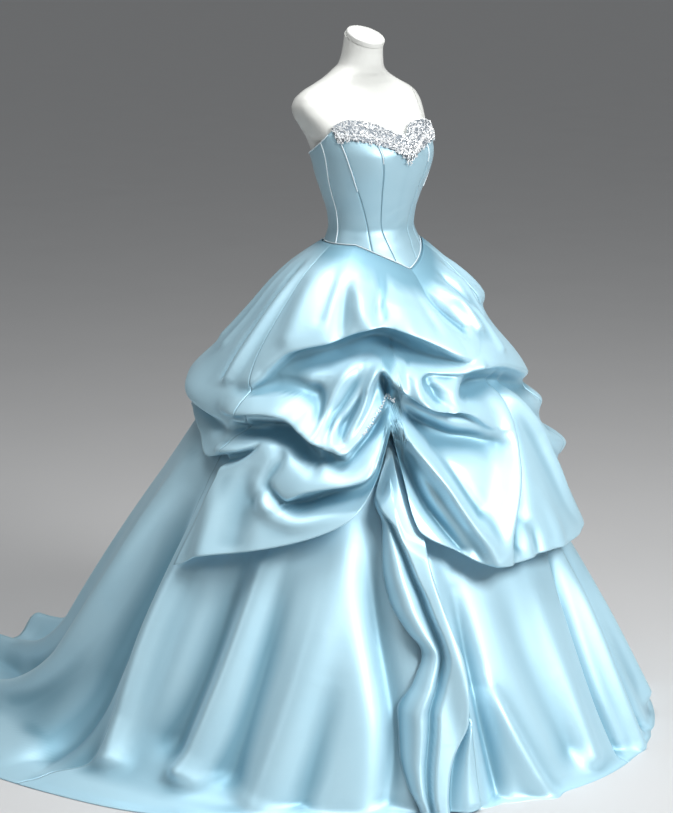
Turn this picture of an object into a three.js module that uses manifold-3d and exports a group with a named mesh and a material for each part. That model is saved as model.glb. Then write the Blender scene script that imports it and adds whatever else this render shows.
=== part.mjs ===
// A strapless satin ball gown with a beaded neckline, a picked-up overskirt and a swept train, on a white dress form.
// Millimetres, +Z up. The floor is Z 0, the form's pole stands on the origin and the gown faces -Y.
// Around the body, phi is in degrees: 0 is the centre front, 90 the wearer's left (+X) and 180 the centre back.
import * as THREE from 'three';
import { mergeVertices } from 'three/addons/utils/BufferGeometryUtils.js';
import Module from 'manifold-3d';

const { degToRad, lerp, clamp, smoothstep } = THREE.MathUtils;

// ---------------------------------------------------------------- driving sizes
const SATIN = 2.5; // wall of the skirts
const BODICE_CLOTH = 2; // boned bodice wall
const SEAM = 0.35; // gap left between pieces that are sewn together
const FOLDED_SEAM = 0.8; // the same where steep folds cross the seam
const EASE = 1; // between the form and what it wears
const TOP_EASE = { more: 1.6, from: 1280, to: 1325 }; // how much further the bodice stands off at its upper edge
const BRIDGE = { out: 18, spread: 16, from: 1270, to: 1325 }; // where its boned front spans from breast to breast
const FORM_SLACK = { less: 1.5, from: 1362, to: 1385 }; // how much slimmer the form is under the gown
const WAIST_Z = 1098; // waist seam at the sides and back
const WAIST_POINT = 54; // how far the seam dips at the centre front
const WAIST_POINT_SPREAD = 62; // degrees to each side over which it dips
const FORM_BOTTOM_Z = 860;
const BASE_RADIUS = 190;
const BASE_THICK = 10;
const POLE_RADIUS = 14;
const CLEAR_OF_UNDERSKIRT = 16; // least distance, face to face, from underskirt to overskirt
const NECK = { tilt: 24, y: 24, z: 1536, capRadius: 45 };
// The arm plates lie beyond a cut `x` out at `y`, turned to face a little forward, and stand `lip` proud of the body.
const ARM_PLATE = { x: 150, y: 50, turn: 15, lowest: 1326, lip: 1.2 };
const FORM_AROUND = 30;
const FORM_HEIGHTS = [860, 930, 1000, 1044, 1060, 1076, 1092, 1108, 1124, 1140, 1160, 1185, 1215, 1245, 1268, 1290,
  1312, 1332, 1350, 1368, 1384, 1398, 1410, 1420, 1429, 1437, 1446, 1456, 1468, 1484, 1510, 1575];
const BODICE_ROWS = 11;
const UNDER_ROWS = [0, 0.28, 0.45, 0.55, 0.64, 0.72, 0.8, 0.88, 0.945, 1];
const OVER_ROWS = 16;
const FREE_ROWS = 4;
const FREE_DROP = 60; // least height of the free rows at the bottom of the front panel
const OVER_SOFTNESS = 8;
// Where the front panel's columns lie, closest at the pointed notch of its hem.
const FRONT_COLUMNS = [-93, -89.5, -86, -82.5, -79, -75.5, -72, -69, -66, -63, -60, -57, -54, -51.2, -48.5, -46, -43.8,
  -41.8, -40, -38.4, -37, -36, -35.4, -34.7, -33.6, -32.3, -31, -29, -26.5, -23.5, -20, -16.5, -13, -9.5, -6, -2.5, 0.5,
  3, 5.5, 8.5, 12.5, 17, 22, 27, 32, 37, 42];


// The body, from the hips up: half width, half depth, how far its middle lies behind the axis, and squareness.
const torsoSections = [
  { z: 860, halfWidth: 140, halfDepth: 110, back: 0, square: 2 },
  { z: 930, halfWidth: 150, halfDepth: 118, back: 0, square: 2 },
  { z: 1000, halfWidth: 142, halfDepth: 116, back: -6, square: 2 },
  { z: 1044, halfWidth: 128, halfDepth: 111, back: -13, square: 2 },
  { z: 1094, halfWidth: 113, halfDepth: 94, back: -3, square: 2 },
  { z: 1132, halfWidth: 102, halfDepth: 80, back: 0, square: 2 },
  { z: 1160, halfWidth: 104, halfDepth: 84, back: 0, square: 2 },
  { z: 1207, halfWidth: 119, halfDepth: 97, back: 0, square: 2 },
  { z: 1250, halfWidth: 133, halfDepth: 108, back: 0, square: 2.05 },
  { z: 1290, halfWidth: 142, halfDepth: 112, back: 3, square: 2.1 },
  { z: 1325, halfWidth: 149, halfDepth: 104, back: 13, square: 2.3 },
  { z: 1350, halfWidth: 158, halfDepth: 92, back: 27, square: 2.55 },
  { z: 1375, halfWidth: 168, halfDepth: 77, back: 41, square: 2.75 },
  { z: 1395, halfWidth: 171, halfDepth: 65, back: 48, square: 2.8 },
  { z: 1412, halfWidth: 166, halfDepth: 56, back: 50, square: 2.6 },
  { z: 1428, halfWidth: 149, halfDepth: 49, back: 50, square: 2.4 },
  { z: 1440, halfWidth: 124, halfDepth: 46, back: 49, square: 2.2 },
  { z: 1453, halfWidth: 95, halfDepth: 47, back: 47, square: 2.1 },
  { z: 1468, halfWidth: 68, halfDepth: 52, back: 44, square: 2 },
  { z: 1484, halfWidth: 51, halfDepth: 49, back: 36, square: 2 },
  { z: 1510, halfWidth: 45, halfDepth: 46, back: 31, square: 2 },
  { z: 1575, halfWidth: 42, halfDepth: 44, back: 24, square: 2 },
];
const BUST = { side: 33, spread: 27, height: 50, z: 1288, out: 12, formOut: 9 };

// Height of the bodice's upper edge, the same on both sides but for a slight tilt down to the wearer's left.
const neckline = [
  { phi: 0, z: 1330 },
  { phi: 10, z: 1339 },
  { phi: 22, z: 1350 },
  { phi: 37, z: 1358 },
  { phi: 54, z: 1361 },
  { phi: 62, z: 1354 },
  { phi: 70, z: 1340 },
  { phi: 80, z: 1323 },
  { phi: 90, z: 1309 },
  { phi: 101, z: 1297 },
  { phi: 125, z: 1284 },
  { phi: 150, z: 1276 },
  { phi: 180, z: 1274 },
];
const NECKLINE_TILT = 6;

// Seams between the bodice panels, the same on both sides.
const princessSeam = [
  { z: 1365, phi: 36 },
  { z: 1285, phi: 30 },
  { z: 1150, phi: 28 },
  { z: 1058, phi: 16 },
];
const sideFrontSeam = [
  { z: 1361, phi: 66 },
  { z: 1244, phi: 59 },
  { z: 1102, phi: 43.5 },
  { z: 1078, phi: 42 },
];
const sideBackSeam = [
  { z: 1318, phi: 84 },
  { z: 1210, phi: 87 },
  { z: 1098, phi: 86 },
];

// The skirts in plan: where the cone meets the floor, how far its side bellies out, where the hem lies, how far the
// overskirt stands off, and the share of that which is kept at the foot of the side and back panels.
const skirtPlan = [
  { phi: -180, foot: 755, belly: 34, hem: 1010, puff: 80, kept: 0.55 },
  { phi: -160, foot: 775, belly: 38, hem: 1010, puff: 79, kept: 0.45 },
  { phi: -140, foot: 785, belly: 40, hem: 1110, puff: 77, kept: 0.34 },
  { phi: -122, foot: 780, belly: 38, hem: 1100, puff: 75, kept: 0.28 },
  { phi: -106, foot: 752, belly: 26, hem: 960, puff: 72, kept: 0.34 },
  { phi: -92, foot: 722, belly: 10, hem: 872, puff: 70, kept: 0.72 },
  { phi: -76, foot: 692, belly: 0, hem: 800, puff: 69, kept: 1 },
  { phi: -62, foot: 672, belly: 0, hem: 712, puff: 68, kept: 1 },
  { phi: -45, foot: 658, belly: 0, hem: 666, puff: 66, kept: 1 },
  { phi: -20, foot: 652, belly: 0, hem: 664, puff: 64, kept: 1 },
  { phi: 5, foot: 652, belly: 0, hem: 674, puff: 64, kept: 1 },
  { phi: 43, foot: 650, belly: 0, hem: 662, puff: 64, kept: 1 },
  { phi: 90, foot: 650, belly: 6, hem: 658, puff: 68, kept: 0.95 },
  { phi: 120, foot: 676, belly: 18, hem: 690, puff: 74, kept: 0.75 },
  { phi: 140, foot: 700, belly: 26, hem: 750, puff: 77, kept: 0.65 },
  { phi: 160, foot: 728, belly: 32, hem: 880, puff: 79, kept: 0.6 },
];
const FILLET = 210; // longest run over which a train bends from the cone on to the floor
const SLOPE = 1.12; // way down the overskirt for each millimetre of its height
const HELD_FLAT = { from: 4, to: 60 }; // way below the waist seam over which the overskirt comes free of it
const PUFF_RUN = 70; // how fast the overskirt swells below the waist
const ROLL_OVER = 1.8; // how much rounder a hanging fold rolls over at its lower side
const DRAWN_IN = { from: 800, to: 690 }; // heights between which the overskirt is drawn in to what is kept

// Height of the overskirt's free edge, on the side and back panels and on the front panel.
const backHem = [
  { phi: -180, z: 640 },
  { phi: -150, z: 690 },
  { phi: -125, z: 722 },
  { phi: -110, z: 690 },
  { phi: -100, z: 652 },
  { phi: -92, z: 664 },
  { phi: 47, z: 604 },
  { phi: 62, z: 592 },
  { phi: 100, z: 590 },
  { phi: 140, z: 610 },
];
const frontHem = [
  { phi: -93, z: 440 },
  { phi: -86, z: 470 },
  { phi: -77, z: 487 },
  { phi: -65, z: 512 },
  { phi: -56, z: 535 },
  { phi: -48, z: 565 },
  { phi: -44, z: 596 },
  { phi: -40.5, z: 632 },
  { phi: -38.5, z: 664 },
  { phi: -36.8, z: 712 },
  { phi: -35.4, z: 742 },
  { phi: -34, z: 712 },
  { phi: -32, z: 652 },
  { phi: -30.5, z: 578 },
  { phi: -28.5, z: 540 },
  { phi: -20, z: 503 },
  { phi: -10, z: 462 },
  { phi: 0, z: 457 },
  { phi: 12, z: 461 },
  { phi: 30, z: 456 },
  { phi: 42, z: 470 },
];

// The side edges of the front panel. Below the side panels' hem they hang free.
const frontRightEdge = [
  { z: 1100, phi: -90 },
  { z: 900, phi: -91 },
  { z: 800, phi: -89 },
  { z: 740, phi: -88 },
  { z: 680, phi: -92 },
  { z: 620, phi: -91 },
  { z: 440, phi: -93 },
];
const frontLeftEdge = [
  { z: 1100, phi: 50 },
  { z: 900, phi: 50 },
  { z: 700, phi: 49 },
  { z: 600, phi: 47 },
  { z: 470, phi: 42 },
];

// Folds of the overskirt. Each point of a path is phi, height and how far the fold stands out there. The fold falls
// away over `above` and `below`, and its crest hangs down by `droop` times its height.
const overFolds = [
  // the balloon that hangs from the waist across the front, the hollow under it and the cloth that comes out again
  { above: 105, below: 24, droop: 0.7, path: [[-95, 800, 8], [-90, 840, 22], [-82, 904, 32], [-73, 930, 36], [-61, 948, 40], [-50, 972, 44], [-38, 986, 46], [-26, 974, 44], [-11, 944, 40], [-3, 918, 30], [4, 890, 12]] },
  { above: 26, below: 38, droop: 0, path: [[-82, 844, -12], [-71, 872, -28], [-60, 890, -42], [-50, 904, -52], [-40, 914, -58], [-30, 906, -56], [-18, 884, -46], [-8, 866, -30], [0, 856, -12]] },
  { above: 16, below: 30, droop: 0, path: [[-66, 842, 4], [-56, 856, 10], [-46, 870, 12], [-32, 872, 12], [-18, 858, 6]] },
  // the balloon over the wearer's left hip
  { above: 95, below: 28, droop: 0.25, path: [[-12, 815, 8], [-10, 836, 26], [-4, 857, 38], [5, 869, 46], [15, 868, 50], [30, 845, 48], [44, 818, 42], [54, 802, 34], [66, 800, 24], [80, 806, 8]] },
  { above: 14, below: 26, droop: 0, path: [[-8, 800, -8], [-1, 806, -26], [8, 812, -30], [20, 806, -26], [34, 784, -20], [48, 752, -14]] },
  // the curl between them, round a small pocket
  { above: 12, below: 14, droop: 0.3, path: [[4, 872, 12], [-3, 862, 22], [-12, 863, 26], [-19, 866, 28], [-24, 858, 30], [-25, 842, 28], [-24, 824, 26], [-20, 806, 24], [-14, 790, 14]] },
  { above: 17, below: 17, droop: 0, path: [[-19.5, 834, -16], [-17.5, 816, -34], [-14.5, 800, -26]] },
  // the peak over the front pick-up and the folds that gather beside it
  { above: 10, below: 10, droop: 0, path: [[-37.8, 874, 8], [-40.6, 858, 26], [-42.8, 834, 30], [-45, 793, 26], [-48, 758, 22], [-50.5, 734, 14], [-51.5, 716, 5]] },
  { above: 8, below: 8, droop: 0, path: [[-38, 850, -8], [-37, 832, -28], [-36.2, 812, -26], [-35.8, 798, -10]] },
  { above: 8, below: 7, droop: 0, path: [[-35.6, 790, -8], [-38.3, 766, -16], [-41.8, 742, -16], [-45.6, 718, -10], [-48.5, 700, -4]] },
  { above: 13, below: 13, droop: 0, path: [[-48.5, 880, 3], [-53, 846, 9], [-57, 798, 12], [-58.5, 762, 12], [-60, 744, 5]] },
  { above: 10, below: 10, droop: 0, path: [[-45.5, 862, -3], [-49, 822, -9], [-52.3, 788, -10], [-55.8, 757, -5]] },
  { above: 10, below: 10, droop: 0, path: [[-43.5, 872, 3], [-47, 822, 10], [-51, 784, 13], [-53.8, 762, 14], [-54, 740, 12], [-52, 720, 5]] },
  { above: 8, below: 8, droop: 0, path: [[-44.8, 815, -4], [-47.8, 780, -12], [-50.6, 750, -12], [-51.4, 730, -6]] },
  { above: 10, below: 10, droop: 0, path: [[-25.5, 874, -3], [-28, 850, -9], [-28.3, 822, -5]] },
  { above: 22, below: 22, droop: 0, path: [[-60, 850, -4], [-64, 810, -12], [-68, 786, -8]] },
  // the long roll from the peak across to the wearer's left
  { above: 30, below: 17, droop: 0.4, path: [[-37.8, 874, 8], [-35, 866, 26], [-32, 845, 34], [-28, 830, 40], [-24, 820, 42], [-18, 807, 44], [-12, 795, 42], [-4, 776, 34], [3, 744, 20], [8, 728, 8]] },
  { above: 17, below: 36, droop: 0, path: [[-31, 782, -16], [-26.5, 758, -44], [-20, 736, -54], [-12, 716, -48], [-4, 706, -34], [5, 690, -12]] },
  // the swag that laps over, on the wearer's right of the pick-up
  { above: 20, below: 9, droop: 0.3, path: [[-64, 758, 6], [-60, 744, 20], [-56, 726, 28], [-50.5, 714, 30], [-47.5, 730, 26], [-43.5, 758, 20], [-39, 792, 8]] },
  { above: 9, below: 20, droop: 0, path: [[-61, 722, -10], [-56, 700, -20], [-50, 688, -24], [-46, 706, -18], [-41.5, 738, -14], [-38.5, 766, -10]] },
  // the side roll, the hollow over it and the deep one under it
  { above: 22, below: 15, droop: 0.5, path: [[-96, 762, 12], [-91, 774, 34], [-86, 783, 42], [-78, 791, 46], [-71, 787, 46], [-65, 766, 42], [-60, 748, 32], [-56, 730, 12]] },
  { above: 20, below: 10, droop: 0, path: [[-93, 806, -5], [-85, 813, -14], [-77, 820, -18], [-68, 814, -18], [-62.5, 800, -14], [-60, 776, -10], [-59.5, 756, -5]] },
  { above: 14, below: 20, droop: 0, path: [[-92, 722, -18], [-86, 727, -46], [-80, 730, -58], [-74, 731, -60], [-69, 719, -54], [-64, 701, -44], [-59, 684, -20]] },
  { above: 7, below: 7, droop: 0, path: [[-92, 738, 6], [-87, 731, 16], [-80, 728, 9]] },
  { above: 11, below: 9, droop: 0.3, path: [[-79.5, 712, 6], [-84, 694, 18], [-90, 684, 22], [-95, 676, 12]] },
  { above: 8, below: 18, droop: 0, path: [[-81, 692, -10], [-86, 666, -22], [-92, 650, -22], [-97, 642, -8]] },
  { above: 14, below: 14, droop: 0, path: [[-75, 712, -4], [-71, 680, -10], [-73, 640, -8], [-76, 590, -5]] },
  // the front panel below its pick-ups, on the wearer's right
  { above: 30, below: 30, droop: 0, path: [[-92, 620, 4], [-88, 560, 12], [-86, 480, 14]] },
  { above: 34, below: 34, droop: 0, path: [[-80, 660, -4], [-79, 600, -12], [-78, 510, -10]] },
  { above: 54, below: 11, droop: 0.3, path: [[-67, 600, 10], [-62, 628, 28], [-56, 645, 40], [-48, 657, 46], [-43, 670, 44], [-40.3, 692, 38], [-38.2, 722, 24], [-36.8, 745, 8]] },
  { above: 13, below: 28, droop: 0, path: [[-66, 587, -10], [-60, 597, -28], [-53, 611, -42], [-46, 620, -48], [-42, 634, -48], [-39.5, 662, -40], [-38, 700, -24]] },
  { above: 14, below: 26, droop: 0.2, path: [[-76, 622, 4], [-72, 594, 11], [-66, 574, 15], [-61, 570, 15], [-56, 585, 11], [-51, 606, 4]] },
  { above: 11, below: 13, droop: 0, path: [[-72, 620, -8], [-68, 599, -17], [-63, 589, -17], [-59, 594, -8]] },
  // the front panel below its pick-ups, on the wearer's left
  { above: 34, below: 13, droop: 0, path: [[-35, 756, 8], [-31.3, 744, 34], [-28.5, 710, 46], [-24.5, 670, 48], [-20.5, 628, 46], [-17.5, 586, 42], [-14.5, 544, 38], [-11.5, 505, 32], [-10, 474, 24]] },
  { above: 13, below: 15, droop: 0, path: [[-32, 706, -16], [-29.5, 655, -38], [-26, 596, -42], [-22.5, 556, -34], [-17.5, 500, -18]] },
  { above: 20, below: 20, droop: 0, path: [[-21, 700, -10], [-16, 640, -16], [-11, 570, -12]] },
  { above: 10, below: 34, droop: 0, path: [[17, 826, 6], [15, 780, 18], [12.5, 715, 28], [8, 645, 32], [2, 575, 30], [-3, 510, 20], [-5, 462, 12]] },
  { above: 24, below: 11, droop: 0, path: [[19.5, 800, -6], [18, 760, -18], [15.6, 705, -24], [11, 636, -24], [5.5, 560, -20], [0, 490, -12]] },
  { above: 12, below: 26, droop: 0, path: [[24, 812, 8], [28.5, 752, 20], [31.5, 690, 25], [32.5, 610, 25], [33, 530, 16], [37, 480, 8]] },
  { above: 17, below: 17, droop: 0, path: [[7, 530, -3], [8, 500, -9], [7, 462, -9]] },
  { above: 26, below: 26, droop: 0, path: [[18, 560, 3], [18, 505, 8], [17, 462, 8]] },
  // the puffs on the wearer's left side
  { above: 34, below: 32, droop: 0, path: [[36, 762, 8], [44, 742, 24], [52, 728, 32], [62, 720, 34], [76, 726, 28], [92, 742, 12]] },
  { above: 16, below: 20, droop: 0, path: [[44, 672, -12], [58, 664, -20], [76, 670, -18]] },
  { above: 46, below: 32, droop: 0, path: [[33, 700, 6], [39, 670, 20], [47, 638, 34], [58, 618, 42], [72, 614, 36], [90, 628, 14]] },
  { above: 20, below: 24, droop: 0, path: [[46, 566, -8], [60, 552, -18], [76, 556, -16]] },
  { above: 60, below: 32, droop: 0.25, path: [[46, 990, 6], [56, 976, 24], [72, 966, 32], [92, 964, 30], [110, 968, 24], [124, 980, 8]] },
  { above: 100, below: 90, droop: 0, path: [[-152, 950, -10], [-134, 946, -22], [-118, 950, -20], [-104, 968, -8]] },
  { above: 20, below: 34, droop: 0, path: [[52, 904, -8], [68, 896, -16], [90, 892, -18], [114, 900, -10]] },
  { above: 12, below: 12, droop: 0, path: [[44, 1070, -2], [46, 1010, -16], [47, 950, -8]] },
  { above: 14, below: 14, droop: 0, path: [[38, 1066, 3], [38, 1010, 14], [37, 950, 7]] },
  { above: 14, below: 14, droop: 0, path: [[56, 1076, 3], [58, 1020, 12], [60, 980, 7]] },
  // the pleats beside the side seam and the swags of the back, on the wearer's right
  { above: 16, below: 22, droop: 0, path: [[-96, 1082, 2], [-97, 1000, 15], [-98, 900, 18], [-100, 830, 16]] },
  { above: 12, below: 12, droop: 0, path: [[-103, 1080, -3], [-104.5, 1000, -18], [-105, 900, -24], [-104, 830, -14]] },
  { above: 44, below: 26, droop: 0.4, path: [[-158, 804, 14], [-143, 812, 22], [-128, 808, 22], [-115, 778, 24], [-107, 748, 20], [-101, 706, 8]] },
  { above: 14, below: 20, droop: 0, path: [[-142, 744, -10], [-126, 748, -20], [-112, 742, -26], [-104, 726, -24], [-97, 712, -12]] },
  { above: 90, below: 24, droop: 0.6, path: [[-210, 884, 8], [-198, 868, 30], [-180, 862, 36], [-162, 868, 30], [-150, 884, 8]] },
  { above: 20, below: 44, droop: 0, path: [[-204, 812, -20], [-192, 800, -40], [-180, 792, -46], [-168, 800, -40], [-156, 812, -20]] },
  { above: 50, below: 20, droop: 0.5, path: [[-206, 716, 10], [-194, 700, 36], [-180, 690, 42], [-166, 700, 36], [-154, 716, 10]] },
  { above: 18, below: 30, droop: 0, path: [[-196, 656, -10], [-180, 648, -14], [-164, 656, -10]] },
  { above: 18, below: 18, droop: 0, path: [[-118, 1080, 2], [-119, 980, 12], [-119, 880, 10]] },
  { above: 18, below: 18, droop: 0, path: [[-134, 1078, 2], [-136, 980, 14], [-137, 880, 12]] },
  { above: 14, below: 14, droop: 0, path: [[-150, 1080, -3], [-150, 990, -14], [-149, 900, -12]] },
  { above: 16, below: 16, droop: 0, path: [[-172, 1084, 3], [-172, 1000, 14], [-171, 910, 10]] },
  // the same on the wearer's left
  { above: 80, below: 22, droop: 0.6, path: [[98, 800, 12], [110, 806, 34], [125, 802, 44], [142, 796, 38], [156, 806, 14]] },
  { above: 16, below: 40, droop: 0, path: [[100, 742, -24], [112, 740, -44], [126, 734, -46], [142, 736, -30]] },
  { above: 20, below: 20, droop: 0, path: [[118, 730, 6], [117, 680, 16], [115, 620, 10]] },
  { above: 22, below: 22, droop: 0, path: [[140, 726, 6], [139, 680, 14], [137, 620, 10]] },
  { above: 14, below: 14, droop: 0, path: [[128, 1080, -3], [130, 1000, -14], [132, 900, -10]] },
  { above: 16, below: 16, droop: 0, path: [[150, 1082, 3], [151, 1000, 14], [152, 910, 10]] },
  // gathers under the waist point
  { above: 26, below: 26, droop: 0, path: [[-83, 1082, 3], [-81, 1020, 12], [-79, 945, 10]] },
  { above: 14, below: 14, droop: 0, path: [[-70, 1076, -2], [-68, 1030, -8], [-67, 985, -5]] },
  { above: 18, below: 18, droop: 0, path: [[-59, 1062, -3], [-57.5, 1005, -17], [-55, 935, -12]] },
  { above: 19, below: 19, droop: 0, path: [[-50, 1066, 3], [-46.5, 1006, 16], [-40, 955, 10]] },
  { above: 9, below: 9, droop: 0, path: [[-38, 1046, -3], [-39, 1018, -10], [-40, 992, -4]] },
  { above: 22, below: 22, droop: 0, path: [[-27, 1046, 2], [-26, 1000, 9], [-25, 955, 8]] },
  { above: 12, below: 12, droop: 0, path: [[-12, 1036, -2], [-11, 1000, -8], [-10, 965, -5]] },
  { above: 10, below: 14, droop: 0, path: [[-3, 1034, -6], [1, 998, -24], [7, 950, -16]] },
  { above: 18, below: 15, droop: 0, path: [[8, 1036, 6], [14, 1002, 27], [17, 945, 17]] },
  { above: 11, below: 11, droop: 0, path: [[24, 1056, -4], [27, 1020, -24], [28, 975, -12]] },
  { above: 15, below: 15, droop: 0, path: [[29, 1060, 3], [28, 985, 14], [23, 895, 10]] },
];

// Folds of the underskirt. Each point is phi, height on the cone (or minus the way out over the floor) and rise.
const underFolds = [
  // the wearer's right front
  { above: 40, below: 30, path: [[-71, 520, 2], [-72, 440, 20], [-74.5, 220, 32], [-77, 40, 34]] },
  { above: 40, below: 40, path: [[-80, 480, -6], [-80, 300, -22], [-82, 100, -24]] },
  { above: 30, below: 30, path: [[-66, 460, -4], [-67, 300, -18], [-69, 60, -20]] },
  { above: 50, below: 40, path: [[-50, 560, 2], [-56, 300, 20], [-62, 20, 26]] },
  { above: 36, below: 36, path: [[-43, 560, -6], [-40, 360, -30], [-36.5, 160, -30], [-38, 20, -22]] },
  { above: 30, below: 30, path: [[-50, 240, -2], [-52, 120, -14], [-54, 10, -18]] },
  // beside the cascade
  { above: 26, below: 26, path: [[-27, 560, 2], [-25, 400, 20], [-22, 200, 26], [-22, 20, 20]] },
  { above: 22, below: 22, path: [[-19, 400, -4], [-18, 250, -24], [-17, 60, -26], [-17, 10, -20]] },
  { above: 24, below: 34, path: [[-15, 220, 4], [-13.5, 170, 26], [-9, 40, 30], [-7, 0, 26]] },
  { above: 40, below: 40, path: [[-3, 440, -2], [-2, 260, -12], [2, 60, -18]] },
  { above: 34, below: 30, path: [[9, 430, 2], [8, 240, 12], [7, 40, 18]] },
  // the wearer's left
  { above: 18, below: 16, path: [[24, 430, -6], [20, 300, -28], [17, 130, -30], [17, 10, -24]] },
  { above: 24, below: 24, path: [[30, 440, 6], [27, 300, 28], [24, 130, 32], [23, 10, 30]] },
  { above: 20, below: 20, path: [[36, 440, -6], [34.5, 280, -26], [33, 100, -28], [33, 10, -24]] },
  { above: 30, below: 30, path: [[43, 440, 4], [42.5, 260, 26], [42, 60, 32]] },
  { above: 20, below: 20, path: [[51, 440, -4], [52, 260, -20], [52, 60, -24]] },
  { above: 32, below: 32, path: [[60, 440, 2], [61, 240, 24], [61, 20, 32]] },
  { above: 28, below: 28, path: [[71, 440, -2], [72, 240, -22], [72, 20, -26]] },
  { above: 34, below: 34, path: [[82, 460, 2], [82, 240, 24], [81, 20, 32]] },
  { above: 34, below: 34, path: [[92, 460, -2], [92, 240, -22], [91, 20, -26]] },
  { above: 40, below: 40, path: [[103, 520, 2], [103, 260, 24], [102, 0, 34], [102, -60, 22]] },
  { above: 36, below: 36, path: [[119, 540, -2], [119, 260, -22], [118, 0, -30]] },
  { above: 44, below: 44, path: [[135, 560, 2], [135, 260, 24], [136, 0, 38], [137, -90, 26]] },
  { above: 40, below: 40, path: [[150, 560, -2], [150, 260, -22], [151, 0, -30]] },
  // the train
  { above: 34, below: 40, path: [[-94, 620, 6], [-95, 480, 34], [-95, 300, 42], [-93, 120, 40], [-91, 20, 30]] },
  { above: 44, below: 50, path: [[-103, 560, -10], [-104, 400, -40], [-105, 240, -44], [-104, 60, -40], [-103, -60, -24]] },
  { above: 50, below: 44, path: [[-112, 640, 4], [-113.5, 500, 34], [-114.5, 360, 46], [-118, 190, 50], [-126, 20, 46], [-134, -120, 38], [-139, -260, 26]] },
  { above: 46, below: 46, path: [[-122, 520, -4], [-125, 320, -26], [-132, 120, -34], [-140, -40, -28], [-146, -160, -18]] },
  { above: 36, below: 40, path: [[-136, 560, 2], [-138, 300, 26], [-143, 80, 44], [-149, -80, 50], [-153, -230, 46]] },
  { above: 28, below: 28, path: [[-147, 540, -2], [-149, 260, -24], [-154, 40, -32], [-158, -120, -20]] },
  { above: 36, below: 36, path: [[-158, 560, 2], [-159, 280, 24], [-161, 40, 42], [-163, -220, 50]] },
  { above: 28, below: 28, path: [[-167, 560, -2], [-167.5, 260, -22], [-168, 40, -28], [-169, -120, -16]] },
  { above: 38, below: 38, path: [[-176, 560, 2], [-176, 280, 24], [-176, 40, 44], [-175, -220, 52]] },
  { above: 30, below: 30, path: [[-186, 560, -2], [-186, 260, -22], [-185, 40, -28], [-184, -120, -16]] },
  { above: 44, below: 44, path: [[-197, 560, 2], [-195, 280, 24], [-193, 20, 44], [-191, -180, 48]] },
];

// The two shaped seams of the underskirt's front, the two beside the train, and the way down along each.
const underSeams = {
  train: [{ z: 1100, phi: -98 }, { z: 430, phi: -100 }, { z: 150, phi: -96 }, { z: 0, phi: -94 }, { z: -90, phi: -98 }],
  right: [{ z: 1100, phi: -36 }, { z: 700, phi: -34 }, { z: 440, phi: -27 }, { z: 250, phi: -23 }, { z: 0, phi: -23 }],
  left: [{ z: 1100, phi: 27 }, { z: 440, phi: 21 }, { z: 250, phi: 18 }, { z: 90, phi: 15.5 }, { z: 0, phi: 15.5 }],
  side: [{ z: 1100, phi: 100 }, { z: 0, phi: 102 }],
};

// The cascade: a folded end of cloth that falls from the front pick-up to the floor, between phi `left` and `right`.
// One ply stands out by `ridge` as far as the share `split` of the width, and the next laps over it by `lobe` as far
// as the share `end`.
const cascade = [
  { z: 744, left: -35.9, right: -34.9, split: 0.05, ridge: 0, lobe: 2, end: 1 },
  { z: 725, left: -36.8, right: -34.3, split: 0.05, ridge: 0, lobe: 4, end: 1 },
  { z: 690, left: -37.2, right: -32.8, split: 0.05, ridge: 0, lobe: 8, end: 1 },
  { z: 650, left: -38.6, right: -30.6, split: 0.05, ridge: 2, lobe: 18, end: 1 },
  { z: 590, left: -41, right: -27.8, split: 0.08, ridge: 6, lobe: 30, end: 1 },
  { z: 545, left: -38.6, right: -26.4, split: 0.26, ridge: 16, lobe: 36, end: 1 },
  { z: 470, left: -38.8, right: -25.8, split: 0.55, ridge: 30, lobe: 40, end: 1 },
  { z: 400, left: -37.2, right: -24.2, split: 0.66, ridge: 34, lobe: 42, end: 1 },
  { z: 345, left: -33.6, right: -22.8, split: 0.64, ridge: 30, lobe: 44, end: 1 },
  { z: 300, left: -30, right: -21.8, split: 0.52, ridge: 26, lobe: 44, end: 1 },
  { z: 245, left: -32.4, right: -21.4, split: 0.48, ridge: 32, lobe: 42, end: 1 },
  { z: 185, left: -36, right: -21.6, split: 0.46, ridge: 38, lobe: 42, end: 0.98 },
  { z: 110, left: -36, right: -21.8, split: 0.38, ridge: 36, lobe: 42, end: 0.74 },
  { z: 50, left: -34.8, right: -22, split: 0.28, ridge: 32, lobe: 42, end: 0.6 },
  { z: 4, left: -33, right: -22, split: 0.2, ridge: 24, lobe: 42, end: 0.5 },
];
const CASCADE_PLY = { lap: 0.06, turn: 0.12, last: 12, swell: 12 };
const CASCADE_CLEAR = 9; // from the underskirt to the back of the cascade
// Its top is caught close behind the overskirt: `gap` from it, above `caught` and down to `hidden` above the hem.
const CASCADE_TOP = { gap: 4.6, caught: 722, hidden: 30 };

// How the beading's depth below the neckline changes around the front, the same on both sides.
const beadingDepth = [
  { phi: 0, depth: 47 },
  { phi: 7, depth: 43 },
  { phi: 15, depth: 40 },
  { phi: 32, depth: 37 },
  { phi: 55, depth: 34 },
  { phi: 72, depth: 26 },
];
const BEADING = { reach: 67, above: 4, gap: 2, thick: 2.2, relief: 2.2, scallop: 3.5, scallopEvery: 6 };

// The line of beads where the overskirt is caught up, in columns and rows of the front panel.
const PICK_UP = { fromColumn: 13.8, fromRow: 13, toColumn: 16.4, toRow: 14.1, halfRows: 0.28, rim: 3, dome: 2.5, thick: 2 };

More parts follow.
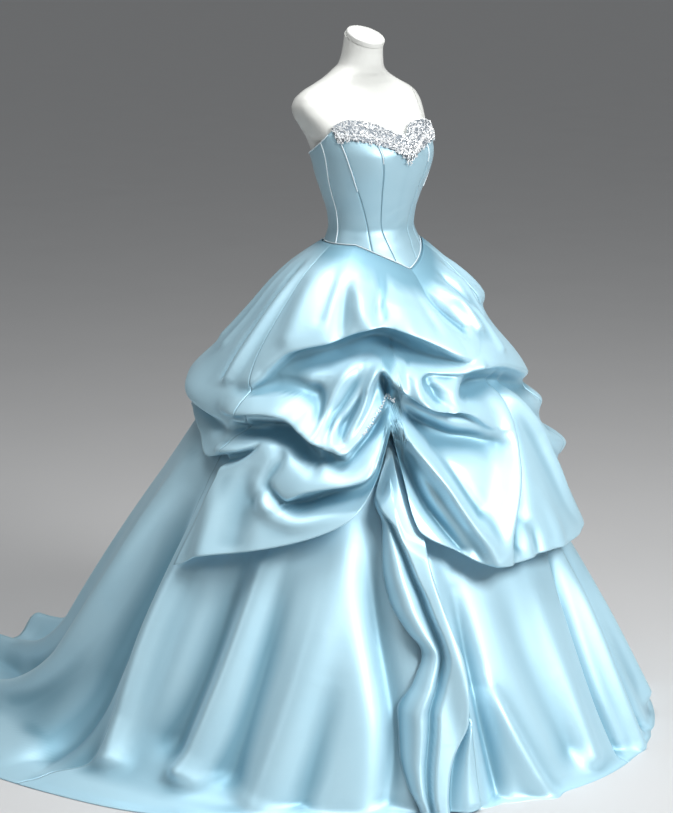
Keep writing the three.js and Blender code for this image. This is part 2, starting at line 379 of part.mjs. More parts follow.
const satin = new THREE.MeshStandardMaterial({ color: 0xa9d0e0, roughness: 0.32, metalness: 0.05 });
const satinShade = new THREE.MeshStandardMaterial({ color: 0x9cc5d8, roughness: 0.34, metalness: 0.05 });
const crystal = new THREE.MeshStandardMaterial({ color: 0xd9dde2, roughness: 0.18, metalness: 0.75 });
const whiteGloss = new THREE.MeshStandardMaterial({ color: 0xeeeeec, roughness: 0.3, metalness: 0 });
const steel = new THREE.MeshStandardMaterial({ color: 0xb9bcc0, roughness: 0.3, metalness: 0.9 });

const gown = new THREE.Group();

// ---------------------------------------------------------------- reading the tables
// Reads a column of a table, whose rows run by `key`, with a smooth curve from row to row.
function readTable(rows, key, column, at) {
  const rising = rows[0][key] < rows[rows.length - 1][key];
  const row = (k) => rows[rising ? k : rows.length - 1 - k];
  const last = rows.length - 1;
  if (at <= row(0)[key]) return row(0)[column];
  if (at >= row(last)[key]) return row(last)[column];
  let k = 0;
  while (row(k + 1)[key] < at) k++;
  const chord = (m) => (row(m + 1)[column] - row(m)[column]) / (row(m + 1)[key] - row(m)[key]);
  const slope = (m) => {
    if (m === 0 || m === last) return 0;
    const before = chord(m - 1), after = chord(m);
    return before * after <= 0 ? 0 : (2 * before * after) / (before + after);
  };
  const width = row(k + 1)[key] - row(k)[key];
  const t = (at - row(k)[key]) / width;
  return (1 + 2 * t) * (1 - t) ** 2 * row(k)[column] + t * (1 - t) ** 2 * width * slope(k)
    + t * t * (3 - 2 * t) * row(k + 1)[column] + t * t * (t - 1) * width * slope(k + 1);
}

const wrap = (phi) => ((((phi + 180) % 360) + 360) % 360) - 180;

// A table that goes right round the body is read with its first rows repeated at its end.
function closeRound(rows) {
  const shifted = (turn) => rows.map((row) => ({ ...row, phi: row.phi + turn }));
  return [...shifted(-360), ...rows, ...shifted(360)];
}
const planRound = closeRound(skirtPlan);
const backHemRound = closeRound(backHem);
const plan = (phi, column) => readTable(planRound, 'phi', column, wrap(phi));
const outward = (phi) => new THREE.Vector3(Math.sin(degToRad(phi)), -Math.cos(degToRad(phi)), 0);
const waistZ = (phi) => WAIST_Z - WAIST_POINT * clamp(1 - Math.abs(wrap(phi)) / WAIST_POINT_SPREAD, 0, 1) ** 1.15;
const necklineZ = (phi) => readTable(neckline, 'phi', 'z', Math.abs(wrap(phi))) - NECKLINE_TILT * Math.sin(degToRad(phi));

// A point of the body's surface, `out` millimetres clear of it.
function torsoPoint(phi, z, out = 0, bustOut = BUST.out) {
  const size = (column) => readTable(torsoSections, 'z', column, z);
  const round = outward(phi), square = size('square');
  const across = Math.abs(round.x) / size('halfWidth'), deep = Math.abs(round.y) / size('halfDepth');
  const radius = (across ** square + deep ** square) ** (-1 / square);
  const cup = (side) => Math.exp(-(((wrap(phi) - side) / BUST.spread) ** 2) - ((z - BUST.z) / BUST.height) ** 2);
  const bust = bustOut * (cup(-BUST.side) + cup(BUST.side));
  return round.multiplyScalar(radius + bust + out).add(new THREE.Vector3(0, size('back'), z));
}

// ---------------------------------------------------------------- folds
// Lays a fold's path out flat, in short steps, as millimetres around and up from the path's own middle.
function layFlat(fold, flat) {
  const curve = new THREE.CatmullRomCurve3(fold.path.map((p) => new THREE.Vector3(...p)), false, 'centripetal');
  fold.middle = fold.path.reduce((sum, p) => sum + p[0], 0) / fold.path.length;
  fold.line = curve.getPoints(fold.path.length * 5).map((p) => {
    const { x, y } = flat(p.x, p.y, fold.middle);
    return { x, y, out: p.z };
  });
  fold.reach = 2.4 * Math.max(fold.above, fold.below);
  fold.box = new THREE.Box2().setFromPoints(fold.line.map((p) => new THREE.Vector2(p.x, p.y)));
  fold.box.expandByScalar(fold.reach);
}

// How far one fold stands out at a flat point: all of it on the path, less with the distance from it. `above` is its
// width on the left hand of the path's run, so above one that runs to the wearer's left. Round its ends one width
// passes into the other. A fold that hangs down rolls over its lower side more roundly.
function foldHeight(fold, here) {
  let nearest = Infinity, height = 0;
  for (let k = 0; k < fold.line.length - 1; k++) {
    const from = fold.line[k], to = fold.line[k + 1];
    const dx = to.x - from.x, dy = to.y - from.y;
    const offX = here.x - from.x, offY = here.y - from.y;
    const t = clamp((offX * dx + offY * dy) / (dx * dx + dy * dy + 1e-9), 0, 1);
    const distance = Math.hypot(offX - t * dx, offY - t * dy);
    if (distance >= nearest) continue;
    nearest = distance;
    const aside = (dx * offY - dy * offX) / (Math.hypot(dx, dy) * distance + 1e-9);
    const share = smoothstep(aside, -1, 1);
    const width = lerp(fold.below, fold.above, share);
    const power = 2 + ROLL_OVER * (fold.droop ?? 0) * (1 - share);
    height = lerp(from.out, to.out, t) * Math.exp(-((distance / width) ** power));
  }
  return nearest < fold.reach ? height : 0;
}

// How far all folds together stand out, and how far they hang down, at one place of a skirt.
function foldsAt(folds, phi, height, flat) {
  let rise = 0, droop = 0;
  for (const fold of folds) {
    if (!fold.line) layFlat(fold, flat);
    const turned = fold.middle + wrap(phi - fold.middle);
    const here = flat(turned, height, fold.middle);
    if (!fold.box.containsPoint(here)) continue;
    const out = foldHeight(fold, here);
    rise += out;
    droop += out * (fold.droop ?? 0);
  }
  return { rise, droop };
}

// ---------------------------------------------------------------- the skirts' surfaces
// `height` runs from the waist seam down to 0 where the cone meets the floor, and on to minus the way over the floor.
function underBase(phi, height) {
  const top = waistZ(phi) - SEAM, foot = plan(phi, 'foot'), hem = plan(phi, 'hem'), out = outward(phi);
  const start = torsoPoint(phi, top, EASE + SATIN), end = out.clone().multiplyScalar(foot);
  const coneLength = Math.hypot(foot - Math.hypot(start.x, start.y), top);
  const bend = Math.min(FILLET, Math.max(hem - foot, 1));
  const way = height >= 0 ? coneLength * (1 - height / top) : coneLength - height;
  const onCone = (w) => start.clone().lerp(end, w / coneLength);
  const onFloor = (w) => end.clone().addScaledVector(out, w - coneLength);
  const belly = plan(phi, 'belly') * Math.sin(Math.PI * clamp(way / coneLength, 0, 1)) ** 1.2;
  const bent = clamp((way - coneLength + bend) / (2 * bend), 0, 1);
  let point = way < coneLength ? onCone(way) : onFloor(way);
  if (bent > 0 && bent < 1) {
    point = onCone(coneLength - bend).multiplyScalar((1 - bent) ** 2)
      .addScaledVector(end, 2 * bent * (1 - bent))
      .addScaledVector(onFloor(coneLength + bend), bent * bent);
  }
  return { point: point.addScaledVector(out, belly), lean: bent * smoothstep(hem - foot, 20, 120), way };
}

const underFlat = (phi, height, middle) => {
  const { point, way } = underBase(phi, height);
  return new THREE.Vector2(degToRad(phi - middle) * Math.hypot(point.x, point.y), -way);
};

// On the floor the cloth lies at its own thickness, and a fold can only rise from it.
function underPoint(phi, height) {
  const { point, lean } = underBase(phi, height);
  const { rise } = foldsAt(underFolds, phi, height, underFlat);
  const turn = (lean * Math.PI) / 2;
  point.addScaledVector(outward(phi), rise * Math.cos(turn));
  point.z = Math.max(point.z + rise * Math.sin(turn), SATIN * smoothstep(lean, 0.2, 0.9));
  return point;
}

function overBase(phi, z) {
  const down = Math.max(waistZ(phi) - z, 0);
  const drawn = lerp(plan(phi, 'kept'), 1, smoothstep(z, DRAWN_IN.to, DRAWN_IN.from));
  const swell = SATIN + SEAM + plan(phi, 'puff') * drawn * (1 - Math.exp(-down / PUFF_RUN));
  return { under: underBase(phi, Math.min(z, waistZ(phi) - SEAM)).point, swell, down };
}

const overFlat = (phi, z, middle) => {
  const { under, swell } = overBase(phi, z);
  return new THREE.Vector2(degToRad(phi - middle) * (Math.hypot(under.x, under.y) + swell), z * SLOPE);
};

// The overskirt keeps clear of the underskirt, however deep its own folds. At the waist seam it is held flat.
function overPoint(phi, z) {
  const { under, swell, down } = overBase(phi, z);
  const { rise, droop } = foldsAt(overFolds, phi, z, overFlat);
  const free = smoothstep(down, HELD_FLAT.from, HELD_FLAT.to);
  const beneath = foldsAt(underFolds, phi, z, underFlat).rise;
  const least = SATIN + SEAM + (Math.max(beneath, -10) + CLEAR_OF_UNDERSKIRT) * free;
  const spare = (swell + rise * free - least) / OVER_SOFTNESS;
  const out = least + OVER_SOFTNESS * (spare > 20 ? spare : Math.log1p(Math.exp(spare)));
  return under.addScaledVector(outward(phi), lerp(swell, out, free)).setZ(z - droop * free);
}

// ---------------------------------------------------------------- making solids
function geometryOf(points, index) {
  const geometry = new THREE.BufferGeometry().setFromPoints(points);
  geometry.setIndex(index);
  return geometry;
}

// A closed wall, `thick` deep, behind a grid of outer points. Columns run to the wearer's left and rows run down.
// `lift` moves it outwards off those points, and nothing goes below the floor.
function wall(columns, rows, pointAt, thick, lift = () => 0) {
  const grid = [];
  for (let j = 0; j <= rows; j++) for (let i = 0; i <= columns; i++) grid.push(pointAt(i / columns, j / rows));
  const id = (i, j) => j * (columns + 1) + i;
  const outer = [], inner = [], index = [];
  for (let j = 0; j <= rows; j++) {
    for (let i = 0; i <= columns; i++) {
      // at a side edge the wall turns in squarely, so that neighbours stay parallel across the seam
      const here = grid[id(i, j)], edge = i === 0 || i === columns;
      const across = edge ? new THREE.Vector3(-here.y, here.x, 0)
        : grid[id(i + 1, j)].clone().sub(grid[id(i - 1, j)]);
      const down = grid[id(i, Math.min(j + 1, rows))].clone().sub(grid[id(i, Math.max(j - 1, 0))]);
      const inward = across.cross(down).normalize();
      const off = lift(i / columns, j / rows);
      outer.push(here.clone().addScaledVector(inward, -off));
      inner.push(here.clone().addScaledVector(inward, thick - off));
    }
  }
  for (const p of [...outer, ...inner]) p.z = Math.max(p.z, 0);
  const n = outer.length;
  const quad = (a, b, c, d) => index.push(a, b, c, a, c, d);
  for (let j = 0; j < rows; j++) {
    for (let i = 0; i < columns; i++) {
      quad(id(i, j), id(i, j + 1), id(i + 1, j + 1), id(i + 1, j));
      quad(n + id(i, j), n + id(i + 1, j), n + id(i + 1, j + 1), n + id(i, j + 1));
    }
  }
  for (let i = 0; i < columns; i++) {
    quad(id(i, 0), id(i + 1, 0), n + id(i + 1, 0), n + id(i, 0));
    quad(id(i + 1, rows), id(i, rows), n + id(i, rows), n + id(i + 1, rows));
  }
  for (let j = 0; j < rows; j++) {
    quad(id(0, j + 1), id(0, j), n + id(0, j), n + id(0, j + 1));
    quad(id(columns, j), id(columns, j + 1), n + id(columns, j + 1), n + id(columns, j));
  }
  return geometryOf([...outer, ...inner], index);
}

// A closed solid through rings of points, with a flat end on the first and the last.
function loft(rings) {
  const around = rings[0].length, points = rings.flat(), index = [];
  for (let j = 0; j < rings.length - 1; j++) {
    for (let i = 0; i < around; i++) {
      const a = j * around + i, b = j * around + ((i + 1) % around);
      index.push(a, b, b + around, a, b + around, a + around);
    }
  }
  for (const [j, facing] of [[0, -1], [rings.length - 1, 1]]) {
    const middle = rings[j].reduce((sum, p) => sum.add(p), new THREE.Vector3()).divideScalar(around);
    const m = points.push(middle) - 1;
    for (let i = 0; i < around; i++) {
      const a = j * around + i, b = j * around + ((i + 1) % around);
      index.push(...(facing > 0 ? [m, a, b] : [m, b, a]));
    }
  }
  return geometryOf(points, index);
}

const wasm = await Module();
wasm.setup();
function toSolid(geometry) {
  const merged = geometry.clone();
  merged.deleteAttribute('normal');
  merged.deleteAttribute('uv');
  const clean = mergeVertices(merged, 1e-4);
  const vertProperties = new Float32Array(clean.attributes.position.array);
  return new wasm.Manifold(new wasm.Mesh({ numProp: 3, vertProperties, triVerts: new Uint32Array(clean.index.array) }));
}
function fromSolid(solid) {
  const { vertProperties, triVerts } = solid.getMesh();
  const geometry = new THREE.BufferGeometry();
  geometry.setAttribute('position', new THREE.BufferAttribute(new Float32Array(vertProperties), 3));
  geometry.setIndex([...triVerts]);
  return geometry;
}
function add(name, geometry, material) {
  geometry.computeVertexNormals();
  const mesh = new THREE.Mesh(geometry, material);
  mesh.name = name;
  gown.add(mesh);
  return mesh;
}

// ---------------------------------------------------------------- the dress form
function formRings(lip = 0) {
  return FORM_HEIGHTS.map((z) => Array.from({ length: FORM_AROUND }, (_, i) => {
    const slack = FORM_SLACK.less * (1 - smoothstep(z, FORM_SLACK.from, FORM_SLACK.to));
    return torsoPoint((360 * i) / FORM_AROUND, z, lip - slack, BUST.formOut);
  }));
}

// A block whose face leans forward with the top of the neck, from `from` to `to` millimetres above the seam there.
function neckBlock(from, to) {
  const block = new THREE.BoxGeometry(400, 400, to - from);
  block.translate(0, 0, (from + to) / 2);
  block.rotateX(degToRad(NECK.tilt));
  block.translate(0, NECK.y, NECK.z);
  return toSolid(block);
}

// Everything that lies further out to one side than the cut through the shoulder, and `gap` beyond it.
function besideCut(side, gap) {
  const { x, y, turn, lowest } = ARM_PLATE;
  const block = new THREE.BoxGeometry(200, 400, 400);
  block.translate(side * (100 + gap), 0, 0).rotateZ(-side * degToRad(turn));
  block.translate(side * x, y, lowest + 200);
  return toSolid(block);
}

function addForm() {
  const whole = toSolid(loft(formRings()));
  const torso = whole.subtract(neckBlock(0, 400)).subtract(besideCut(-1, 0)).subtract(besideCut(1, 0));
  add('form_torso', fromSolid(torso), whiteGloss);

  // the neck's cap: a disc on the tilted cut, with a rounded rim
  const r = NECK.capRadius;
  const profile = [[0, 0], [r - 1, 0], [r, 2], [r, 9], [r - 2.5, 12.5], [r - 15, 15], [0, 16.5]];
  const cap = new THREE.LatheGeometry(profile.map(([out, h]) => new THREE.Vector2(out, h)), 28);
  cap.rotateX(Math.PI / 2).translate(0, 0, SEAM).scale(0.96, 1, 1);
  cap.rotateX(degToRad(NECK.tilt)).translate(0, NECK.y, NECK.z);
  add('form_neck_cap', cap, whiteGloss);

  // the arm plates: the ends of the shoulders, a little proud of the body
  const proud = toSolid(loft(formRings(ARM_PLATE.lip)));
  for (const [side, name] of [[-1, 'form_arm_plate_right'], [1, 'form_arm_plate_left']]) {
    add(name, fromSolid(proud.intersect(besideCut(side, SEAM))), whiteGloss);
  }

  const pole = new THREE.CylinderGeometry(POLE_RADIUS, POLE_RADIUS, FORM_BOTTOM_Z - BASE_THICK - 2 * SEAM, 16);
  pole.rotateX(Math.PI / 2).translate(0, 0, (FORM_BOTTOM_Z + BASE_THICK) / 2);
  add('form_pole', pole, steel);
  const base = new THREE.CylinderGeometry(BASE_RADIUS, BASE_RADIUS, BASE_THICK, 40);
  base.rotateX(Math.PI / 2).translate(0, 0, BASE_THICK / 2);
  add('form_base', base, whiteGloss);
}

// ---------------------------------------------------------------- the bodice
const seamAt = (rows, z, side) => side * readTable(rows, 'z', 'phi', z);

// How far the bodice's outer face lies off the body.
const bodiceOut = (phi, z) => EASE + BODICE_CLOTH + TOP_EASE.more * smoothstep(z, TOP_EASE.from, TOP_EASE.to)
  + BRIDGE.out * Math.exp(-((wrap(phi) / BRIDGE.spread) ** 2)) * smoothstep(z, BRIDGE.from, BRIDGE.to);

// One panel, between two lines around the body that are given by height.
function addBodicePanel(name, columns, fromPhi, toPhi) {
  const pointAt = (u, v) => {
    // the height depends on the angle and the angle on the height, so a few rounds settle both
    let phi = lerp(fromPhi(1200), toPhi(1200), u), z = 1200;
    for (let round = 0; round < 8; round++) {
      z = lerp(necklineZ(phi), waistZ(phi) + SEAM, v);
      phi = lerp(fromPhi(z), toPhi(z), u);
    }
    const gap = (SEAM / 2) * (u === 0 ? 1 : u === 1 ? -1 : 0);
    const along = outward(phi + 90);
    return torsoPoint(phi, z, bodiceOut(phi, z)).addScaledVector(along, gap);
  };
  add(name, wall(columns, BODICE_ROWS, pointAt, BODICE_CLOTH), satin);
}

function addBodice() {
  addBodicePanel('bodice_centre_front', 9, (z) => seamAt(princessSeam, z, -1), (z) => seamAt(princessSeam, z, 1));
  for (const [side, which] of [[-1, 'right'], [1, 'left']]) {
    const lines = {
      side_front: [princessSeam, sideFrontSeam, 6],
      side: [sideFrontSeam, sideBackSeam, 6],
    };
    for (const [part, [inner, outer, columns]] of Object.entries(lines)) {
      const [first, second] = side < 0 ? [outer, inner] : [inner, outer];
      addBodicePanel(`bodice_${part}_${which}`, columns, (z) => seamAt(first, z, side), (z) => seamAt(second, z, side));
    }
    const centreBack = () => side * 180, edge = (z) => seamAt(sideBackSeam, z, side);
    const [first, second] = side < 0 ? [centreBack, edge] : [edge, centreBack];
    addBodicePanel(`bodice_back_${which}`, 9, first, second);
  }
}

function addBeading() {
  const pointAt = (u, v) => {
    const phi = lerp(-BEADING.reach, BEADING.reach, u);
    const scallop = BEADING.scallop * Math.abs(Math.sin((phi / BEADING.scallopEvery) * Math.PI));
    const depth = readTable(beadingDepth, 'phi', 'depth', Math.abs(phi)) + scallop;
    const z = lerp(necklineZ(phi) + BEADING.above, necklineZ(phi) - depth, v);
    const bumps = Math.sin(phi * 1.31 + v * 4) * Math.cos(v * 9.4 + phi * 0.47);
    const edge = 4 * v * (1 - v);
    const relief = BEADING.relief * edge * (0.5 + 0.5 * bumps);
    return torsoPoint(phi, z, bodiceOut(phi, z) + BEADING.gap + BEADING.thick + relief);
  };
  add('neckline_beading', wall(44, 3, pointAt, BEADING.thick), crystal);
}

// ---------------------------------------------------------------- the underskirt
// Rows are shares of the way from the waist seam to the hem, so that neighbouring gores share theirs.
function addGore(name, columns, fromPhi, toPhi) {
  const last = UNDER_ROWS.length - 1;
  const pointAt = (u, v) => {
    const share = UNDER_ROWS[Math.round(v * last)];
    let phi = lerp(fromPhi(600), toPhi(600), u), height = 600;
    for (let round = 0; round < 6; round++) {
      const over = plan(phi, 'hem') - plan(phi, 'foot');
      const top = waistZ(phi) - SEAM;
      height = top - share * (top + over);
      phi = lerp(fromPhi(height), toPhi(height), u);
    }
    const gap = (SEAM / 2) * (u === 0 ? 1 : u === 1 ? -1 : 0);
    return underPoint(phi, height).addScaledVector(outward(phi + 90), gap);
  };
  add(name, wall(columns, last, pointAt, SATIN), satinShade);
}

function addUnderskirt() {
  const seam = (rows) => (z) => readTable(rows, 'z', 'phi', z);
  const { train, right, left, side } = underSeams;
  addGore('underskirt_train', 24, () => -180, seam(train));
  addGore('underskirt_right_front', 30, seam(train), seam(right));
  addGore('underskirt_front', 14, seam(right), seam(left));
  addGore('underskirt_left_side', 19, seam(left), seam(side));
  addGore('underskirt_left_back', 12, seam(side), () => 180);
}

// ---------------------------------------------------------------- the overskirt
const backHemZ = (phi) => readTable(backHemRound, 'phi', 'z', wrap(phi));
const frontHemZ = (phi) => readTable(frontHem, 'phi', 'z', phi);
const rightEdge = (z) => readTable(frontRightEdge, 'z', 'phi', z);
const leftEdge = (z) => readTable(frontLeftEdge, 'z', 'phi', z);

// Where the back panels' hem meets a side edge of the front panel.
function backHemAt(edge) {
  let z = 620;
  for (let round = 0; round < 8; round++) z = backHemZ(edge(z));
  return z;
}

// A corner of the front panel's grid. The first OVER_ROWS rows end at the back panels' hem at both side edges, so that
// neighbours share them.
function frontCorner(column, row) {
  const last = FRONT_COLUMNS.length - 1, first = FRONT_COLUMNS[0];
  const share = (FRONT_COLUMNS[column] - first) / (FRONT_COLUMNS[last] - first);
  let phi = FRONT_COLUMNS[column], z = 800;
  for (let round = 0; round < 8; round++) {
    const top = waistZ(phi) - SEAM, hem = frontHemZ(clamp(phi, frontHem[0].phi, frontHem[frontHem.length - 1].phi));
    const turn = Math.max(hem + FREE_DROP, lerp(backHemAt(rightEdge), backHemAt(leftEdge), share));
    z = row <= OVER_ROWS ? lerp(top, turn, row / OVER_ROWS) : lerp(turn, hem, (row - OVER_ROWS) / FREE_ROWS);
    phi = lerp(rightEdge(z), leftEdge(z), share);
  }
  const gap = (FOLDED_SEAM / 2) * (column === 0 ? 1 : column === last ? -1 : 0);
  return overPoint(phi, z).addScaledVector(outward(phi + 90), gap);
}

// Any place on the flat faces between those corners.
function frontFace(i, j) {
  const column = Math.floor(i), row = Math.floor(j), across = i - column, down = j - row;
  const from = frontCorner(column, row), to = frontCorner(column + 1, row + 1);
  const side = down > across ? frontCorner(column, row + 1) : frontCorner(column + 1, row);
  const least = Math.min(across, down), most = Math.max(across, down);
  return from.clone().multiplyScalar(1 - most).addScaledVector(side, most - least).addScaledVector(to, least);
}

function addFrontPanel() {
  const columns = FRONT_COLUMNS.length - 1, rows = OVER_ROWS + FREE_ROWS;
  const pointAt = (u, v) => frontCorner(Math.round(u * columns), Math.round(v * rows));
  add('overskirt_front', wall(columns, rows, pointAt, SATIN), satin);
}

function addBackPanel(name, columns, fromPhi, toPhi) {
  const pointAt = (u, v) => {
    let phi = lerp(fromPhi(900), toPhi(900), u), z = 900;
    for (let round = 0; round < 8; round++) {
      z = lerp(waistZ(phi) - SEAM, backHemZ(clamp(phi, -180, 180)), v);
      phi = lerp(fromPhi(z), toPhi(z), u);
    }
    const gap = (FOLDED_SEAM / 2) * (u === 0 ? 1 : u === 1 ? -1 : 0);
    return overPoint(phi, z).addScaledVector(outward(phi + 90), gap);
  };
  add(name, wall(columns, OVER_ROWS, pointAt, SATIN), satin);
}

function addOverskirt() {
  addFrontPanel();
  addBackPanel('overskirt_right_back', 15, () => -180, rightEdge);
  addBackPanel('overskirt_left_back', 19, leftEdge, () => 180);
}

// ---------------------------------------------------------------- the cascade and the beaded pick-ups
const hemBeside = (phi) => Math.min(frontHemZ(phi - 4), frontHemZ(phi), frontHemZ(phi + 4));

// Least distance from the axis to the overskirt's back, a little to each side and up and down.
function backOfOverskirt(phi, z) {
  const around = [-1.6, 0, 1.6].flatMap((turn) => [-14, 0, 14].map((up) => overPoint(phi + turn, z + up)));
  return Math.min(...around.map((p) => Math.hypot(p.x, p.y))) - SATIN;
}

// How far the cascade's folds stand out, a share u of the way across it.
function cascadeRise(u, z) {
  const size = (column) => readTable(cascade, 'z', column, z);
  const under = size('ridge') * Math.sin(Math.PI * Math.min(u / size('split'), 1));
  const lapped = smoothstep(u, size('split') - CASCADE_PLY.lap, size('split') + CASCADE_PLY.lap);
  const over = size('lobe') * lapped * (1 - smoothstep(u, size('end') - CASCADE_PLY.turn, size('end')));
  const last = size('end') < 1 ? CASCADE_PLY.last * Math.sin(Math.PI * smoothstep(u, size('end'), 1)) : 0;
  return under + over + last + CASCADE_PLY.swell * Math.sqrt(Math.max(4 * u * (1 - u), 0));
}

function addCascade() {
  const rows = 22, columns = 10;
  const pointAt = (u, v) => {
    const z = lerp(cascade[0].z, cascade[cascade.length - 1].z, v);
    const phi = lerp(readTable(cascade, 'z', 'left', z), readTable(cascade, 'z', 'right', z), u);
    const free = underPoint(phi, z).addScaledVector(outward(phi), CASCADE_CLEAR + SATIN + cascadeRise(u, z));
    // where the overskirt still covers it, it lies close behind the overskirt
    const covered = smoothstep(z, hemBeside(phi) - CASCADE_TOP.hidden, hemBeside(phi));
    const room = backOfOverskirt(phi, z) - CASCADE_TOP.gap - Math.hypot(free.x, free.y);
    const caught = smoothstep(z, CASCADE_TOP.caught, cascade[0].z);
    return free.addScaledVector(outward(phi), covered * Math.min(room, 0) + room * caught);
  };
  add('cascade', wall(columns, rows, pointAt, SATIN), satin);
}

// A raised line of beads, made from the flat faces of the front panel under it and moved out.
function addPickUpBeads() {
  const { fromColumn, fromRow, toColumn, toRow, halfRows, rim, dome, thick } = PICK_UP;
  const pointAt = (u, v) => {
    const row = lerp(fromRow, toRow, u) + (2 * v - 1) * halfRows * Math.sin(Math.PI * (0.15 + 0.7 * u));
    return frontFace(lerp(fromColumn, toColumn, u), row);
  };
  const lift = (u, v) => rim + dome * Math.sin(Math.PI * v) * Math.abs(Math.sin(4 * Math.PI * u));
  add('pick_up_beads', wall(12, 3, pointAt, thick, lift), crystal);
}

addForm();
addBodice();
addBeading();
addUnderskirt();
addOverskirt();
addCascade();
addPickUpBeads();

export default gown;
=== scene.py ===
# A strapless satin ball gown on a white dress form: a beaded neckline, an overskirt caught up at
# the front, a cascade that falls from there, and an underskirt with a swept train.
# Sizes are metres, but millimetres in the two tables of folds.
# Around the body phi is in degrees: 0 the centre front, 90 the wearer's left, 180 the centre back.
import bpy
import bmesh
import math
import random
import numpy as np
from mathutils import Matrix, Vector


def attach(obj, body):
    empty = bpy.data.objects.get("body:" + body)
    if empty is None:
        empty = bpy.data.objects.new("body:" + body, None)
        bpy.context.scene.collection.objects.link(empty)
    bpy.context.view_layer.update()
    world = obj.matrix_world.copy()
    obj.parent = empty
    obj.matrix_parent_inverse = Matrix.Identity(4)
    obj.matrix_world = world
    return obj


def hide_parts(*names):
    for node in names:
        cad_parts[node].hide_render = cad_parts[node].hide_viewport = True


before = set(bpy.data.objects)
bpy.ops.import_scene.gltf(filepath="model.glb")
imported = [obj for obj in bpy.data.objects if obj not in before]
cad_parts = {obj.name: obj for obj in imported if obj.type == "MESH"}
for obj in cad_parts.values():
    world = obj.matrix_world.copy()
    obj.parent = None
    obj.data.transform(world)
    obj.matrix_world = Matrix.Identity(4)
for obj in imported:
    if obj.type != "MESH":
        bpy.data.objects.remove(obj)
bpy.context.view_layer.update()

gown = {
    "satin": 0.0025,  # wall of the skirts
    "bodiceCloth": 0.002,
    "shellThick": 0.0014,  # of the cloth as it is seen
    "seam": 0.0008,
    "ease": 0.001,  # between the form and what it wears
    "topEase": 0.0016,  # how much further the bodice stands off at its upper edge
    "topEaseFrom": 1.28,  # heights over which it comes to stand off
    "topEaseTo": 1.325,
    "necklineTilt": 0.006,  # how far the neckline tilts down to the wearer's left
    "bridge": 0.018,  # how far the boned front stands off where it spans from breast to breast
    "bridgeSpread": 16,
    "bridgeFrom": 1.27,  # heights over which it comes to stand off
    "bridgeTo": 1.325,
    "waistZ": 1.098,
    "waistPoint": 0.054,  # how far the waist seam dips at the centre front
    "waistPointSpread": 62,  # degrees to each side over which it dips
    "waistPointPower": 1.15,
    "fillet": 0.21,  # longest run over which the train bends on to the floor
    "filletLeast": 0.001,
    "bellyPower": 1.2,
    "lieFrom": 0.02,  # how far the hem must lie out on the floor for its folds to lie down too
    "lieTo": 0.12,
    "thickFrom": 0.2,  # how far down it must lie for its own thickness to keep it off the floor
    "thickTo": 0.9,
    "puffRun": 0.07,  # how fast the overskirt swells below the waist
    "drawnFrom": 0.8,  # heights between which the side and back panels are drawn in
    "drawnTo": 0.69,
    "overDrop": 1.12,  # length of the overskirt's cloth to each metre of its height
    "freeFrom": 0.004,  # how far below the waist the overskirt comes free of the underskirt
    "freeTo": 0.06,
    "clearOfUnderskirt": 0.016,
    "deepestBeneath": 0.01,  # how deep into the underskirt's hollows the overskirt may sink
    "softness": 0.008,
    "foldReach": 2.6,  # how many widths away a fold is still felt
    "rollOver": 1.8,  # how roundly a hanging fold rolls over at its lower side
    "paintedShadeHollows": ((0.012, 0.006), (0.035, 0.016)),  # for the painted shade in the folds: share of the cloth looked over, and full depth
    "seamShade": 0.6,  # how dark the cloth is painted at its seams: painted shade along each sheet's side edges
}
bust = {"side": 33, "spread": 27, "height": 0.05, "z": 1.288, "out": 0.012}

# The body by height: half its width and depth, how far back its middle lies, and how square it is,
# from 2 for an ellipse.
torsoSections = {
    "z": [0.86, 0.93, 1, 1.044, 1.094, 1.132, 1.16, 1.207, 1.25, 1.29, 1.325, 1.35, 1.375, 1.395, 1.412,
        1.428, 1.44, 1.453, 1.468, 1.484, 1.51, 1.575],
    "halfWidth": [0.14, 0.15, 0.142, 0.128, 0.113, 0.102, 0.104, 0.119, 0.133, 0.142, 0.149, 0.158,
        0.168, 0.171, 0.166, 0.149, 0.124, 0.095, 0.068, 0.051, 0.045, 0.042],
    "halfDepth": [0.11, 0.118, 0.116, 0.111, 0.094, 0.08, 0.084, 0.097, 0.108, 0.112, 0.104, 0.092,
        0.077, 0.065, 0.056, 0.049, 0.046, 0.047, 0.052, 0.049, 0.046, 0.044],
    "back": [0, 0, -0.006, -0.013, -0.003, 0, 0, 0, 0, 0.003, 0.013, 0.027, 0.041, 0.048, 0.05, 0.05,
        0.049, 0.047, 0.044, 0.036, 0.031, 0.024],
    "square": [2, 2, 2, 2, 2, 2, 2, 2, 2.05, 2.1, 2.3, 2.55, 2.75, 2.8, 2.6, 2.4, 2.2, 2.1, 2, 2, 2, 2],
}

# The height of the neckline at each angle to either side.
neckline = {
    "phi": [0, 10, 22, 37, 54, 62, 70, 80, 90, 101, 125, 150, 180],
    "z": [1.33, 1.339, 1.35, 1.358, 1.361, 1.354, 1.34, 1.323, 1.309, 1.297, 1.284, 1.276, 1.274],
}

